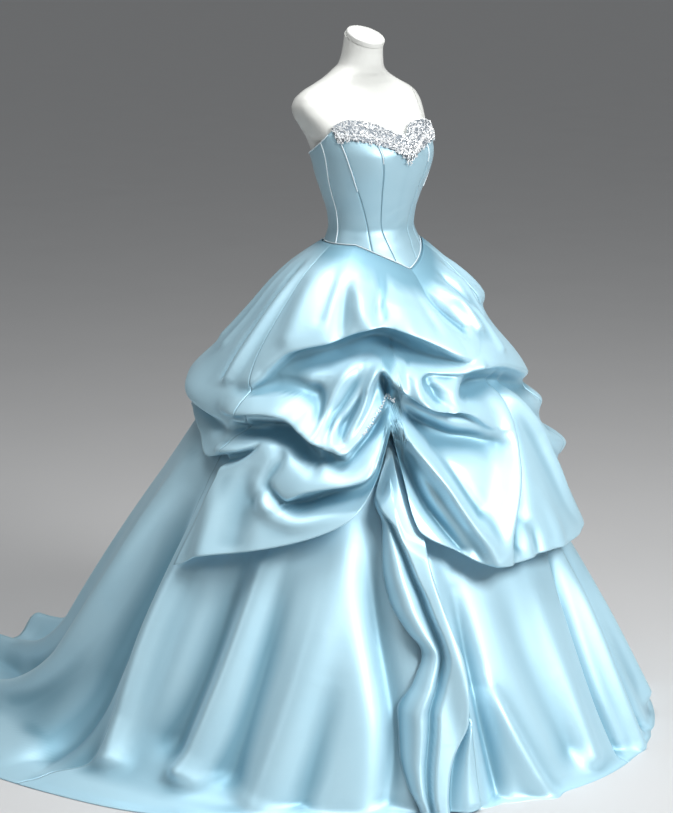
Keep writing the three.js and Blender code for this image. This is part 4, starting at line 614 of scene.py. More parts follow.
def makeSatinGroup():
    # satin: long floats that catch the light along the cloth, faint slubs and a little cloudiness
    group = bpy.data.node_groups.new("satin weave", "ShaderNodeTree")
    for label, kind, value in (("Light Colour", "Color", satinLook["light"]),
                               ("Deep Colour", "Color", satinLook["deep"]),
                               ("Float Scale", "Float", satinLook["floatScale"]),
                               ("Weave Height", "Float", satinLook["weaveHeight"]),
                               ("Rumple Height", "Float", satinLook["rumpleHeight"]),
                               ("Roughness", "Float", satinLook["roughness"])):
        socket = group.interface.new_socket(name=label, in_out="INPUT", socket_type="NodeSocket" + kind)
        socket.default_value = value
    for label, kind in (("Colour", "Color"), ("Roughness", "Float"), ("Normal", "Vector")):
        group.interface.new_socket(name=label, in_out="OUTPUT", socket_type="NodeSocket" + kind)
    given = group.nodes.new("NodeGroupInput")
    result = group.nodes.new("NodeGroupOutput")
    place = (addNode(group, "TexCoord"), "Object")
    stretch = addNode(group, "Mapping", {"Scale": (1, 1, satinLook["floatRun"])}, {"Vector": place})
    floats = addNode(group, "TexNoise", {"Detail": satinLook["floatDetail"]},
                     {"Vector": (stretch, "Vector"), "Scale": (given, "Float Scale")})
    clouds = addNode(group, "TexNoise", satinLook["clouds"], {"Vector": place})
    rumples = addNode(group, "TexNoise", satinLook["rumples"], {"Vector": place})
    blend = addNode(group, "Mix", data_type="RGBA", sources={
        "Factor": (clouds, "Fac"), "A": (given, "Light Colour"), "B": (given, "Deep Colour")})
    uneven = addNode(group, "Math", {1: satinLook["uneven"]}, {0: (floats, "Fac"), 2: (given, "Roughness")},
                     operation="MULTIPLY_ADD")
    weave = addNode(group, "Bump", sources={"Height": (floats, "Fac"), "Distance": (given, "Weave Height")})
    rumple = addNode(group, "Bump", sources={
        "Height": (rumples, "Fac"), "Distance": (given, "Rumple Height"), "Normal": (weave, "Normal")})
    joinInputs(group, result, sources={
        "Colour": (blend, "Result"), "Roughness": (uneven, 0), "Normal": (rumple, "Normal")})
    return group


satinGroup = makeSatinGroup()


# paintedShadeTone darkens both colours of the satin as painted shade; 1 leaves them as they are
def makeSatin(name, rumple=1.0, paintedShadeTone=1.0):
    material, tree, shader = newMaterial(name)
    cloth = addNode(tree, "Group", {
        "Light Colour": [part * paintedShadeTone for part in satinLook["light"][:3]] + [1],
        "Deep Colour": [part * paintedShadeTone for part in satinLook["deep"][:3]] + [1],
        "Float Scale": satinLook["floatScale"],
        "Weave Height": satinLook["weaveHeight"],
        "Rumple Height": satinLook["rumpleHeight"] * rumple,
        "Roughness": satinLook["roughness"],
    }, node_tree=satinGroup)
    # painted shade: the satin's colour is darkened where the attribute marks a fold or a seam
    paintedShade = addNode(tree, "Attribute", attribute_name="paintedShade")
    share = addNode(tree, "Math", {1: satinLook["paintedShadeShare"]}, {0: (paintedShade, "Fac")}, operation="MULTIPLY")
    shade = addNode(tree, "Mix", {"B": satinLook["paintedFoldShade"]}, {"Factor": (share, 0), "A": (cloth, "Colour")},
                    data_type="RGBA")
    joinInputs(tree, shader, {
        "Metallic": satinLook["metallic"],
        "Sheen Weight": satinLook["sheen"],
        "Sheen Roughness": satinLook["sheenRoughness"],
        "Specular IOR Level": satinLook["specular"],
    }, {"Base Color": (shade, "Result"), "Roughness": (cloth, "Roughness"), "Normal": (cloth, "Normal")})
    return material


glossRange = (0.85, 1.15)  # how far the gloss of a plain finish wanders, as shares of its roughness


def makePlain(name, colour, roughness, metallic, grainScale, grainHeight, coat):
    # moulded plastic, steel or stone, with a faint grain and uneven gloss
    material, tree, shader = newMaterial(name)
    place = (addNode(tree, "TexCoord"), "Object")
    grain = (addNode(tree, "TexNoise", {"Scale": grainScale, "Detail": 3}, {"Vector": place}), "Fac")
    least, most = (roughness * share for share in glossRange)
    gloss = addNode(tree, "MapRange", {"To Min": least, "To Max": most}, {"Value": grain})
    bump = addNode(tree, "Bump", {"Distance": grainHeight}, {"Height": grain})
    joinInputs(tree, shader, {"Base Color": colour, "Metallic": metallic, "Coat Weight": coat},
               {"Roughness": (gloss, "Result"), "Normal": (bump, "Normal")})
    return material


plainLooks = [  # name, colour, roughness, metallic, scale and height of the grain, coat
    # The piping is a real raised cord, but its pale colour is a painted highlight, for the bright line along
    # its ridge.
    ("piping painted pale as a highlight", (0.80, 0.90, 0.94, 1), 0.35, 0, 900, 0.0001, 0),
    ("white moulded form", (0.70, 0.71, 0.68, 1), 0.34, 0, 60, 0.0002, 0.2),
    ("brushed steel", (0.55, 0.56, 0.58, 1), 0.32, 1, 240, 0.0001, 0),
    ("cut crystal", (0.95, 0.97, 0.98, 1), 0.12, 0.35, 500, 0.0001, 0.5),
    ("silver thread net", (0.20, 0.23, 0.26, 1), 0.5, 0.2, 900, 0.0003, 0),
    ("pale floor", (0.60, 0.60, 0.60, 1), 0.6, 0, 3, 0.0005, 0),
]
satin = makeSatin("pale blue satin")
# The bodice wears the same satin darkened to 0.8: painted shade, for a front that faces away from the lights.
bodiceSatinInShade = makeSatin("pale blue bodice satin in painted shade", rumple=0.5, paintedShadeTone=0.8)
pipingPaintedPale, formWhite, steel, crystal, silverThread, paleFloor = (makePlain(*look) for look in plainLooks)


def finishPiece(piece, node=None):
    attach(piece, "root")
    if node:
        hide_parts(node)


def hangCloth(name, columns, rows, pointAt, material=satin):
    piece = clothGrid(name + "_satin", columns, rows, pointAt, material)
    finishPiece(piece, name)


# The seams of the bodice, from the neckline down, as they lie on the wearer's left.
princessSeam = {
    "z": [1.365, 1.285, 1.15, 1.058],
    "phi": [36, 30, 28, 16],
}
sideFrontSeam = {
    "z": [1.361, 1.244, 1.102, 1.078],
    "phi": [66, 59, 43.5, 42],
}
sideBackSeam = {
    "z": [1.318, 1.21, 1.098],
    "phi": [84, 87, 86],
}
bodice = {
    "rows": 70,
    "columnsPerDegree": 0.65,
    "fewestColumns": 14,
    "middleZ": 1.2,
    "seamWidth": 0.004,  # how far from a seam the cloth turns in
    "seamDepth": 0.0005,
    "seamGap": 0.0002,
    "topRoll": 0.004,  # how far below the neckline the cloth starts to roll in
    "topDepth": 0.0008,
    "creases": [  # phi, height, slant, length, how high
        (-8, 1.165, 0.5, 30, 0.0016), (6, 1.142, 0.55, 26, 0.0014), (-4, 1.118, 0.35, 30, 0.0010),
        (-62, 1.118, -0.1, 26, 0.0012), (-74, 1.09, 0.1, 24, 0.001),
    ],
    "creaseWidth": 0.006,
}
piping = {
    "radius": 0.0012,
    "roundness": 2,
    "out": 0.0006,
    # name, which seam it runs down, and how far above the waist it stops, as a share of the way
    "seams": [("side_back", 2, 0), ("side_front", 1, 0.45), ("princess", 0, 0.72)],
    "seamPoints": 60,
    "seamAboveWaist": 0.002,
    "waistPoints": 240,
    "aboveWaist": 0.0012,
    "topPoints": 120,
    "topFrom": 73,  # the top edge is corded from here round the back
    "topTurn": 214,
    "belowTop": 0.0008,
}


def bodiceOut(phi, z):
    front = np.exp(-(wrapTurn(phi) / gown["bridgeSpread"]) ** 2)
    bridge = gown["bridge"] * front * smoothStep(z, gown["bridgeFrom"], gown["bridgeTo"])
    topEase = gown["topEase"] * smoothStep(z, gown["topEaseFrom"], gown["topEaseTo"])
    return gown["ease"] + gown["bodiceCloth"] + topEase + bridge


def makeBodicePanel(name, fromPhi, toPhi):
    middle = np.array(bodice["middleZ"])
    span = abs(float(toPhi(middle) - fromPhi(middle)))

    def pointAt(u, v):
        def heightOf(phi):
            return necklineHeight(phi) + (waistHeight(phi) + gown["seam"] - necklineHeight(phi)) * v

        phi, z = settle(between(fromPhi, toPhi), heightOf, u, bodice["middleZ"])
        radius = np.linalg.norm(torsoPoint(phi, z)[..., :2], axis=-1)
        fromSeam = np.radians(np.minimum(np.abs(phi - fromPhi(z)), np.abs(phi - toPhi(z)))) * radius
        turnIn = bodice["seamDepth"] * (1 - np.clip(fromSeam / bodice["seamWidth"], 0, 1)) ** 2
        roll = np.clip((z - necklineHeight(phi) + bodice["topRoll"]) / bodice["topRoll"], 0, 1)
        top = roll ** 2 * bodice["topDepth"]
        crease = 0
        for at, height, slant, length, high in bodice["creases"]:
            off = ((z - height) - slant * np.radians(phi - at) * radius) / bodice["creaseWidth"]
            crease = crease + high * np.exp(-(off ** 2 + ((phi - at) / length * 2) ** 2))
        point = torsoPoint(phi, z, bodiceOut(phi, z) - turnIn - top + crease)
        return point + seamGap(phi, u, bodice["seamGap"])

    columns = max(bodice["fewestColumns"], int(span * bodice["columnsPerDegree"]))
    hangCloth(name, columns, bodice["rows"], pointAt, bodiceSatinInShade)


def makePiping(name, phiAt, heightAt, steps):
    # a fine corded edge, laid on the bodice along a line of angle and height
    u = np.linspace(0, 1, steps)
    phi, z = settle(phiAt, lambda phi: heightAt(phi, u), u, bodice["middleZ"])
    line = torsoPoint(phi, z, bodiceOut(phi, z) + piping["out"])
    curve = bpy.data.curves.new(name, "CURVE")
    curve.dimensions = "3D"
    curve.bevel_depth = piping["radius"]
    curve.bevel_resolution = piping["roundness"]
    curve.use_fill_caps = True
    spline = curve.splines.new("POLY")
    spline.points.add(steps - 1)
    for point, place in zip(spline.points, line):
        point.co = (*place, 1)
    rope = newObject(name + "_curve", curve)
    mesh = bpy.data.meshes.new_from_object(rope.evaluated_get(bpy.context.evaluated_depsgraph_get()))
    bpy.data.objects.remove(rope)
    mesh.polygons.foreach_set("use_smooth", [True] * len(mesh.polygons))
    finishPiece(newObject(name, mesh, pipingPaintedPale))


def makeBodice():
    makeBodicePanel("bodice_centre_front", edgeLine(princessSeam, -1), edgeLine(princessSeam))
    for side, which in ((-1, "right"), (1, "left")):
        lines = [edgeLine(seam, side) for seam in (princessSeam, sideFrontSeam, sideBackSeam)]
        lines.append(centreBack(side))
        for part, inner, outer in zip(("side_front", "side", "back"), lines, lines[1:]):
            first, second = (outer, inner) if side < 0 else (inner, outer)
            makeBodicePanel(f"bodice_{part}_{which}", first, second)
        for name, seam, stop in piping["seams"]:
            def heightAt(phi, u):
                low = waistHeight(phi) + piping["seamAboveWaist"]
                return necklineHeight(phi) - (necklineHeight(phi) - low) * (1 - stop) * u

            makePiping(f"{name}_piping_{which}", lambda u, z: lines[seam](z), heightAt, piping["seamPoints"])
    makePiping("waist_piping", lambda u, z: 360 * u - 180,
               lambda phi, u: waistHeight(phi) + piping["aboveWaist"], piping["waistPoints"])
    makePiping("top_edge_piping", lambda u, z: piping["topFrom"] + piping["topTurn"] * u,
               lambda phi, u: necklineHeight(phi) - piping["belowTop"], piping["topPoints"])
    print("bodice made")


# The beaded band below the neckline: how deep it is at each angle to either side, and its stones.
beadingDepth = {
    "phi": [0, 7, 15, 32, 55, 72],
    "depth": [0.047, 0.043, 0.04, 0.037, 0.034, 0.026],
}
beading = {
    "seed": 11,
    "reach": 67,
    "above": 0.004,
    "scallop": 0.0035,
    "scallopEvery": 6,
    "netColumns": 200,
    "netRows": 16,
    "netOut": 0.0032,
    "clusterEvery": 6.1,
    "clusters": [(0.22, 0.0032, 5, 0), (0.7, 0.0040, 6, 0.5)],  # share of the depth, size, petals, offset
    "clusterOut": 0.0058,
    "clusterSides": 8,
    "stray": 0.6,  # degrees off its place, at most
    "petalStray": 0.25,
    "petalSize": 0.78,
    "petalAway": 1.75,  # how many sizes of the middle stone away
    "petalIn": 0.0008,
    "smallStones": 1000,
    "smallSizes": (0.0011, 0.0013, 0.0016, 0.0019),
    "smallOut": 0.0046,
    "smallSides": 5,
    "smallPast": 0.05,  # how far past the band's edges they stray, as a share of its depth
    "leaves": 420,
    "leafSizes": (0.0018, 0.0027),
    "leafOut": 0.0056,
    "leavesPast": 0.04,
    "drops": 26,  # the longer drops at the centre point
    "dropReach": 9,
    "dropLength": 0.012,
    "dropSize": 0.0016,
}

stone = {"table": 0.55, "depth": 0.7, "leaf": (0.62, 1.35, 0.5), "mostTurn": 3}  # shares of its radius


def beadingPoint(phi, share, out):
    # share 0 is the top edge of the band and 1 its scalloped lower edge
    phi, share = np.asarray(phi, float), np.asarray(share, float)
    scallop = beading["scallop"] * np.abs(np.sin(phi / beading["scallopEvery"] * np.pi))
    depth = readTable(beadingDepth, "phi", "depth", np.abs(phi)) + scallop
    top = necklineHeight(phi) + beading["above"]
    z = top - share * (depth + beading["above"])
    return torsoPoint(phi, z, bodiceOut(phi, z) + out)


def layStone(place, phi, turn):
    # stands a stone out from the cloth at this angle, turned about its own axis
    axis = Vector(outward(np.asarray(phi, float))).normalized()
    lay = axis.to_track_quat("Z", "Y").to_matrix().to_4x4() @ Matrix.Rotation(turn, 4, "Z")
    return Matrix.Translation(Vector(place)) @ lay


def cutStone(bm, place, phi, size, turn, sides=6):
    # a round-cut stone: a faceted cone stood on its girdle, with a flat table on top
    bmesh.ops.create_cone(bm, cap_ends=True, segments=sides, radius1=size, radius2=size * stone["table"],
                          depth=size * stone["depth"], matrix=layStone(place, phi, turn))


def leafStone(bm, place, phi, size, turn):
    # a pear-cut stone, long and flat
    lay = layStone(place, phi, turn) @ Matrix.Diagonal((*stone["leaf"], 1))
    bmesh.ops.create_icosphere(bm, subdivisions=1, radius=size, matrix=lay)


def addClusters(bm, draw):
    # two staggered rows of flowers, each a round stone with petals about it
    reach, every = beading["reach"], beading["clusterEvery"]
    for k in range(int(2 * reach / every) + 1):
        for share, size, petals, offset in beading["clusters"]:
            at = -reach + k * every + every * offset + draw.uniform(-beading["stray"], beading["stray"])
            if abs(at) > reach:
                continue
            middle = beadingPoint(at, share, beading["clusterOut"])
            cutStone(bm, middle, at, size, draw.uniform(0, stone["mostTurn"]), beading["clusterSides"])
            way, side, up = outward(np.array(at)), outward(np.array(at + 90)), np.array((0, 0, 1.0))
            for p in range(petals):
                turn = 2 * math.pi * p / petals + draw.uniform(-beading["petalStray"], beading["petalStray"])
                away = (side * math.cos(turn) + up * math.sin(turn)) * size * beading["petalAway"]
                spot = middle + away - way * beading["petalIn"]
                leafStone(bm, spot, at, size * beading["petalSize"], turn - math.pi / 2)


def strew(draw, over):
    return draw.uniform(-beading["reach"], beading["reach"]), draw.uniform(-over, 1 + over)


def makeBeading():
    def netPoint(u, v):
        return beadingPoint((2 * u - 1) * beading["reach"], v, beading["netOut"])

    net = clothGrid("neckline_net", beading["netColumns"], beading["netRows"], netPoint, silverThread)
    finishPiece(net, "neckline_beading")
    draw = random.Random(beading["seed"])
    bm = bmesh.new()
    addClusters(bm, draw)
    for k in range(beading["smallStones"]):
        phi, share = strew(draw, beading["smallPast"])
        size = draw.choice(beading["smallSizes"])
        place = beadingPoint(phi, share, beading["smallOut"])
        cutStone(bm, place, phi, size, draw.uniform(0, stone["mostTurn"]), beading["smallSides"])
    for k in range(beading["leaves"]):
        phi, share = strew(draw, beading["leavesPast"])
        leafStone(bm, beadingPoint(phi, share, beading["leafOut"]), phi,
                  draw.uniform(*beading["leafSizes"]), draw.uniform(0, math.pi))
    reach = beading["dropReach"]
    for k in range(beading["drops"]):
        phi, drop = draw.uniform(-reach, reach), draw.uniform(0, beading["dropLength"])
        place = beadingPoint(phi, 1, beading["smallOut"]) - np.array((0, 0, drop * (1 - abs(phi) / reach)))
        cutStone(bm, place, phi, beading["dropSize"], draw.uniform(0, stone["mostTurn"]))
    stones = newObject("neckline_stones", meshOf("neckline_stones", bm), crystal)
    finishPiece(stones)
    print("beading made")


# The seams of the underskirt, down to the floor and out along it where z is below nothing.
trainSeam = {
    "z": [1.1, 0.43, 0.15, 0, -0.09],
    "phi": [-98, -100, -96, -94, -98],
}
rightSeam = {
    "z": [1.1, 0.7, 0.44, 0.25, 0],
    "phi": [-36, -34, -27, -23, -23],
}
leftSeam = {
    "z": [1.1, 0.44, 0.25, 0.09, 0],
    "phi": [27, 21, 18, 15.5, 15.5],
}
sideSeam = {
    "z": [1.1, 0],
    "phi": [100, 102],
}
underskirt = {
    "gores": [  # name, the seams it runs from and to, columns and rows
        ("underskirt_train", centreBack(-1), edgeLine(trainSeam), 210, 130),
        ("underskirt_right_front", edgeLine(trainSeam), edgeLine(rightSeam), 180, 140),
        ("underskirt_front", edgeLine(rightSeam), edgeLine(leftSeam), 100, 130),
        ("underskirt_left_side", edgeLine(leftSeam), edgeLine(sideSeam), 170, 110),
        ("underskirt_left_back", edgeLine(sideSeam), centreBack(1), 140, 110),
    ],
    "middleZ": 0.6,
    "rowPower": 0.86,  # below 1 the rows lie closer together towards the hem
}


def makeUnderskirt():
    for name, fromPhi, toPhi, columns, rows in underskirt["gores"]:
        def pointAt(u, v):
            def heightOf(phi):
                over = plan(phi, "hem") - plan(phi, "foot")
                return skirtTop(phi) - (v ** underskirt["rowPower"]) * (skirtTop(phi) + over)

            phi, height = settle(between(fromPhi, toPhi), heightOf, u, underskirt["middleZ"])
            return underPoint(phi, height) + seamGap(phi, u, gown["seam"] / 2)

        hangCloth(name, columns, rows, pointAt)
    print("underskirt made")


# The hems and the side edges of the overskirt.
backHem = {
    "phi": [-180, -150, -125, -110, -100, -92, 47, 62, 100, 140],
    "z": [0.64, 0.69, 0.722, 0.69, 0.652, 0.664, 0.604, 0.592, 0.59, 0.61],
}
frontHem = {
    "phi": [-93, -86, -77, -65, -56, -48, -44, -40.5, -38.5, -36.8, -35.4, -34, -32, -30.5, -28.5, -20,
        -10, 0, 12, 30, 42],
    "z": [0.44, 0.47, 0.487, 0.512, 0.535, 0.565, 0.596, 0.632, 0.664, 0.712, 0.742, 0.712, 0.652,
        0.578, 0.54, 0.503, 0.462, 0.457, 0.461, 0.456, 0.47],
}
frontRightEdge = {
    "z": [1.1, 0.9, 0.8, 0.74, 0.68, 0.62, 0.44],
    "phi": [-90, -91, -89, -88, -92, -91, -93],
}
frontLeftEdge = {
    "z": [1.1, 0.9, 0.7, 0.6, 0.47],
    "phi": [50, 50, 49, 47, 42],
}


def backHemHeight(phi):
    return readTable(backHem, "phi", "z", wrapTurn(phi), True)


def frontHemHeight(phi):
    return readTable(frontHem, "phi", "z", phi)


overskirt = {
    # name, the edges it runs from and to, its hem, its gap at each seam, where the settling starts,
    # columns and rows, and what it rests on
    "panels": [
        ("overskirt_front", edgeLine(frontRightEdge), edgeLine(frontLeftEdge), frontHemHeight,
         0, 0.8, 264, 182, "underskirt_front_satin"),
        ("overskirt_right_back", centreBack(-1), edgeLine(frontRightEdge), backHemHeight,
         gown["seam"] / 2, 0.9, 120, 120, "underskirt_left_back_satin"),
        ("overskirt_left_back", edgeLine(frontLeftEdge), centreBack(1), backHemHeight,
         gown["seam"] / 2, 0.9, 120, 120, "underskirt_left_back_satin"),
    ],
}


def makeOverskirt():
    for name, fromPhi, toPhi, hemHeight, gap, middleZ, columns, rows, restsOn in overskirt["panels"]:
        def pointAt(u, v):
            def heightOf(phi):
                return skirtTop(phi) + (hemHeight(phi) - skirtTop(phi)) * v

            phi, z = settle(between(fromPhi, toPhi), heightOf, u, middleZ)
            return overPoint(phi, z) + seamGap(phi, u, gap)

        hangCloth(name, columns, rows, pointAt)
    print("overskirt made")


# The cascade: its two edges at each height, and the plies it hangs in.
cascade = {
    "z": [0.744, 0.725, 0.69, 0.65, 0.59, 0.545, 0.47, 0.4, 0.345, 0.3, 0.245, 0.185, 0.11, 0.05, 0.004],
    "left": [-35.9, -36.8, -37.2, -38.6, -41, -38.6, -38.8, -37.2, -33.6, -30, -32.4, -36, -36, -34.8,
        -33],
    "right": [-34.9, -34.3, -32.8, -30.6, -27.8, -26.4, -25.8, -24.2, -22.8, -21.8, -21.4, -21.6, -21.8,
        -22, -22],
    "split": [0.05, 0.05, 0.05, 0.05, 0.08, 0.26, 0.55, 0.66, 0.64, 0.52, 0.48, 0.46, 0.38, 0.28, 0.2],
    "ridge": [0, 0, 0, 0.002, 0.006, 0.016, 0.03, 0.034, 0.03, 0.026, 0.032, 0.038, 0.036, 0.032, 0.024],
    "lobe": [0.002, 0.004, 0.008, 0.018, 0.03, 0.036, 0.04, 0.042, 0.044, 0.044, 0.042, 0.042, 0.042,
        0.042, 0.042],
    "end": [1, 1, 1, 1, 1, 1, 1, 1, 1, 1, 1, 0.98, 0.74, 0.6, 0.5],
}
cascadePly = {
    "columns": 50,
    "rows": 200,
    "lap": 0.06,
    "turn": 0.12,
    "last": 0.012,
    "swell": 0.012,
    "clear": 0.009,  # of the underskirt
    "beside": 4,  # degrees to each side over which the hem of the overskirt is looked for
    "coverFrom": 0.03,  # how far below that hem the cascade starts to keep behind the overskirt
    "aside": 1.6,  # degrees and height to each side over which it looks for where the overskirt comes in
    "upDown": 0.014,
    "behind": 0.0046,
    "caughtFrom": 0.722,  # heights over which it draws up to the overskirt where it is caught
    "caughtTo": 0.744,
}


def cascadeRise(u, z):
    # one ply as far as the split, the next lapping over it as far as the end, and the last beside it
    split, ridge, lobe, end = (readTable(cascade, "z", column, z)
                               for column in ("split", "ridge", "lobe", "end"))
    lap, turn = cascadePly["lap"], cascadePly["turn"]
    under = ridge * np.sin(np.pi * np.minimum(u / split, 1))
    over = lobe * smoothStep(u, split - lap, split + lap) * (1 - smoothStep(u, end - turn, end))
    last = np.where(end < 1, cascadePly["last"] * np.sin(np.pi * smoothStep(u, np.minimum(end, 0.999), 1)), 0)
    return under + over + last + cascadePly["swell"] * np.sqrt(np.maximum(4 * u * (1 - u), 0))


def cascadePoint(u, v):
    z = cascade["z"][0] + (cascade["z"][-1] - cascade["z"][0]) * v
    left, right = (readTable(cascade, "z", side, z) for side in ("left", "right"))
    phi = left + (right - left) * u
    rise = cascadePly["clear"] + gown["satin"] + cascadeRise(u, z)
    free = underPoint(phi, z) + outward(phi) * rise[..., None]
    turn, aside, upDown = cascadePly["beside"], cascadePly["aside"], cascadePly["upDown"]
    hem = np.min([frontHemHeight(phi + step) for step in (-turn, 0, turn)], axis=0)
    covered = smoothStep(z, hem - cascadePly["coverFrom"], hem)
    around = [overPoint(phi + step, z + up) for step in (-aside, 0, aside) for up in (-upDown, 0, upDown)]
    back = np.min([np.hypot(point[..., 0], point[..., 1]) for point in around], axis=0) - gown["satin"]
    room = back - cascadePly["behind"] - np.hypot(free[..., 0], free[..., 1])
    caught = smoothStep(z, cascadePly["caughtFrom"], cascadePly["caughtTo"])
    move = covered * np.minimum(room, 0) + room * caught
    return free + outward(phi) * move[..., None]


def makeCascade():
    hangCloth("cascade", cascadePly["columns"], cascadePly["rows"], cascadePoint)
    print("cascade made")


# The stones where the overskirt is caught up, strewn along a line of phi and height.
pickUp = {
    "line": [(-44.8, 0.746), (-42.5, 0.760), (-40.5, 0.778), (-38.5, 0.791), (-36.0, 0.803), (-34.5, 0.801),
             (-33.4, 0.796)],
    "lineSteps": 16,
    "beads": 64,
    "seed": 5,
    "aside": 0.45,
    "upDown": 0.004,
    "out": 0.003,
    "sizes": (0.0014, 0.0026),
}


def makePickUpBeads():
    draw = random.Random(pickUp["seed"])
    line = smoothPath([(phi, z, 0) for phi, z in pickUp["line"]], pickUp["lineSteps"])
    bm = bmesh.new()
    for k in range(pickUp["beads"]):
        spot = line[int(k / pickUp["beads"] * (len(line) - 1))]
        phi = np.array(spot[0] + draw.uniform(-pickUp["aside"], pickUp["aside"]))
        z = np.array(spot[1] + draw.uniform(-pickUp["upDown"], pickUp["upDown"]))
        place = overPoint(phi, z) + outward(phi) * pickUp["out"]
        cutStone(bm, place, phi, draw.uniform(*pickUp["sizes"]), draw.uniform(0, stone["mostTurn"]))
    stones = newObject("pick_up_stones", meshOf("pick_up_stones", bm), crystal)
    finishPiece(stones, "pick_up_beads")
    print("pick-up beads made")


form = {
    "around": 120, "rows": 190, "bottom": 0.86, "top": 1.575, "bustOut": 0.009, "weld": 0.00005,
    "slack": 0.0015,  # how much slimmer it is beneath the gown
    "slackFrom": 1.362,  # heights over which it comes out to its full size
    "slackTo": 1.385,
    "edge": 0.0008, "edgeSegments": 3, "edgeAngle": 40, "trim": 0.0001,
    "armX": 0.15, "armY": 0.05, "armTurn": 15, "armLowest": 1.326, "armLip": 0.0012,
    "neckTilt": 24, "neckY": 0.024, "neckZ": 1.536,
    "capRadius": 0.045, "capNarrow": 0.96, "capDepth": 0.013, "capUp": 0.0069, "capEdge": 0.0045,
    "capSides": 96, "capEdgeSegments": 6,
}


def makeFormBody(out):
    # a tube through the body's sections, closed at its back, with both ends still open
    def pointAt(u, v):
        z = form["bottom"] + (form["top"] - form["bottom"]) * (1 - v)
        slack = form["slack"] * (1 - smoothStep(z, form["slackFrom"], form["slackTo"]))
        return torsoPoint(u * 360 - 180, z, out - slack, form["bustOut"])

    bm = laidGrid(form["around"], form["rows"], pointAt)[0]
    bmesh.ops.remove_doubles(bm, verts=bm.verts[:], dist=form["weld"])
    return bm


def cutForm(bm, point, normal):
    # cuts away what lies beyond a plane, and closes the cut
    whole = bm.verts[:] + bm.edges[:] + bm.faces[:]
    cut = bmesh.ops.bisect_plane(bm, geom=whole, dist=0.00001, plane_co=point, plane_no=normal,
                                 clear_outer=True)
    rim = [item for item in cut["geom_cut"] if isinstance(item, bmesh.types.BMEdge)]
    bmesh.ops.holes_fill(bm, edges=rim, sides=0)


def finishForm(name, bm):
    bmesh.ops.recalc_face_normals(bm, faces=bm.faces[:])
    piece = newObject(name + "_finish", meshOf(name + "_finish", bm, True), formWhite)
    rim = piece.modifiers.new("soft rim", "BEVEL")
    rim.width = form["edge"]
    rim.segments = form["edgeSegments"]
    rim.limit_method = "ANGLE"
    rim.angle_limit = math.radians(form["edgeAngle"])
    rim.harden_normals = True
    finishPiece(piece, name)


def makeForm():
    tilt = math.radians(form["neckTilt"])
    neckTop = Vector((0, form["neckY"], form["neckZ"]))
    neckWay = Matrix.Rotation(tilt, 3, "X") @ Vector((0, 0, 1))
    floorWay = Vector((0, 0, -1))
    torso = makeFormBody(0)
    cutForm(torso, neckTop, neckWay)
    cutForm(torso, Vector((0, 0, form["bottom"] + form["trim"])), floorWay)
    for side, which in ((-1, "right"), (1, "left")):
        sideWay = Matrix.Rotation(math.radians(-side * form["armTurn"]), 3, "Z") @ Vector((side, 0, 0))
        shoulder = Vector((side * form["armX"], form["armY"], form["armLowest"]))
        cutForm(torso, shoulder, sideWay)
        plate = makeFormBody(form["armLip"])
        cutForm(plate, shoulder + sideWay * gown["seam"], -sideWay)
        cutForm(plate, shoulder, floorWay)
        finishForm(f"form_arm_plate_{which}", plate)
    finishForm("form_torso", torso)

    cap = bmesh.new()
    lay = Matrix.Translation(neckTop) @ Matrix.Rotation(tilt, 4, "X")
    lay = lay @ Matrix.Diagonal((form["capNarrow"], 1, 1, 1)) @ Matrix.Translation((0, 0, form["capUp"]))
    bmesh.ops.create_cone(cap, cap_ends=True, segments=form["capSides"], radius1=form["capRadius"],
                          radius2=form["capRadius"], depth=form["capDepth"], matrix=lay)
    top = max(cap.faces, key=lambda face: face.calc_center_median().dot(neckWay))
    bmesh.ops.bevel(cap, geom=list(top.edges), offset=form["capEdge"], segments=form["capEdgeSegments"],
                    profile=0.5, affect="EDGES", material=-1)
    finishForm("form_neck_cap", cap)

    for name, look in (("form_base", formWhite), ("form_pole", steel)):
        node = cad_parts[name]
        node.data.materials.clear()
        node.data.materials.append(look)
    print("form made")


room = {"floorReach": 60, "world": (0.40, 0.44, 0.48, 1), "worldStrength": 0.14}


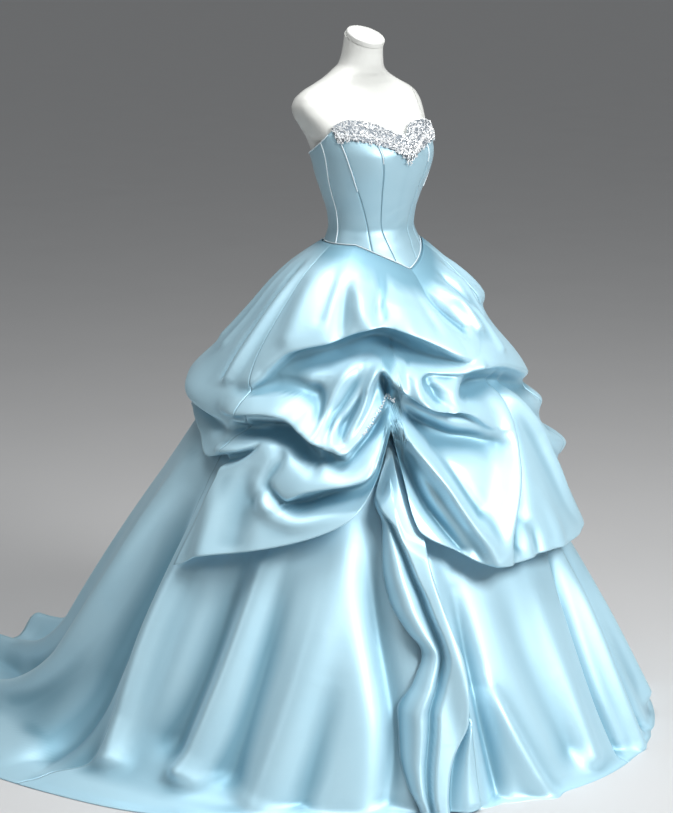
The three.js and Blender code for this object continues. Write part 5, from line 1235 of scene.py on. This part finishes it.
def makeRoom():
    bm = bmesh.new()
    bmesh.ops.create_grid(bm, x_segments=1, y_segments=1, size=room["floorReach"])
    newObject("floor", meshOf("floor", bm), paleFloor)
    world = bpy.data.worlds.new("studio")
    bpy.context.scene.world = world
    world.use_nodes = True
    background = world.node_tree.nodes["Background"]
    background.inputs["Color"].default_value = room["world"]
    background.inputs["Strength"].default_value = room["worldStrength"]


lights = [  # name, to the camera's right, towards the camera, height, size, power, what it points at
    ("key", 2.7, 2.5, 3.3, 1.6, 188, (0.1, 0, 0.6)),
    ("fill", -2.6, 2.4, 2.6, 1.4, 12, (0, 0, 0.9)),
    ("top", -0.3, 0.6, 4.2, 1.6, 70, (0, 0, 0.9)),
]
sky = {"strength": 0.6, "spread": 1.2}
cameraSet = {"azimuth": -42, "distance": 5.0, "height": 1.856, "pitch": 12.89, "yaw": 0.887, "lens": 99.92}


def makeLightsAndCamera():
    turn = math.radians(cameraSet["azimuth"])
    towards = Vector((math.sin(turn), -math.cos(turn), 0))
    right = Vector((math.cos(turn), math.sin(turn), 0))
    for name, side, near, height, size, power, target in lights:
        light = bpy.data.lights.new(name, "AREA")
        light.size, light.energy = size, power
        lamp = newObject(name, light)
        lamp.location = right * side + towards * near + Vector((0, 0, height))
        lamp.rotation_euler = (Vector(target) - lamp.location).to_track_quat("-Z", "Y").to_euler()
    light = bpy.data.lights.new("sky", "SUN")
    light.energy, light.angle = sky["strength"], sky["spread"]
    newObject("sky", light)
    lens = bpy.data.cameras.new("camera")
    lens.lens = cameraSet["lens"]
    camera = newObject("camera", lens)
    camera.location = towards * cameraSet["distance"] + Vector((0, 0, cameraSet["height"]))
    camera.rotation_euler = (math.radians(90 - cameraSet["pitch"]), 0,
                             math.radians(cameraSet["azimuth"] + cameraSet["yaw"]))
    bpy.context.scene.camera = camera
    bpy.context.scene.view_settings.view_transform = "Standard"


makeLightsAndCamera()
makeRoom()
makeForm()
makeBodice()
makeBeading()
makeUnderskirt()
makeOverskirt()
makeCascade()
makePickUpBeads()
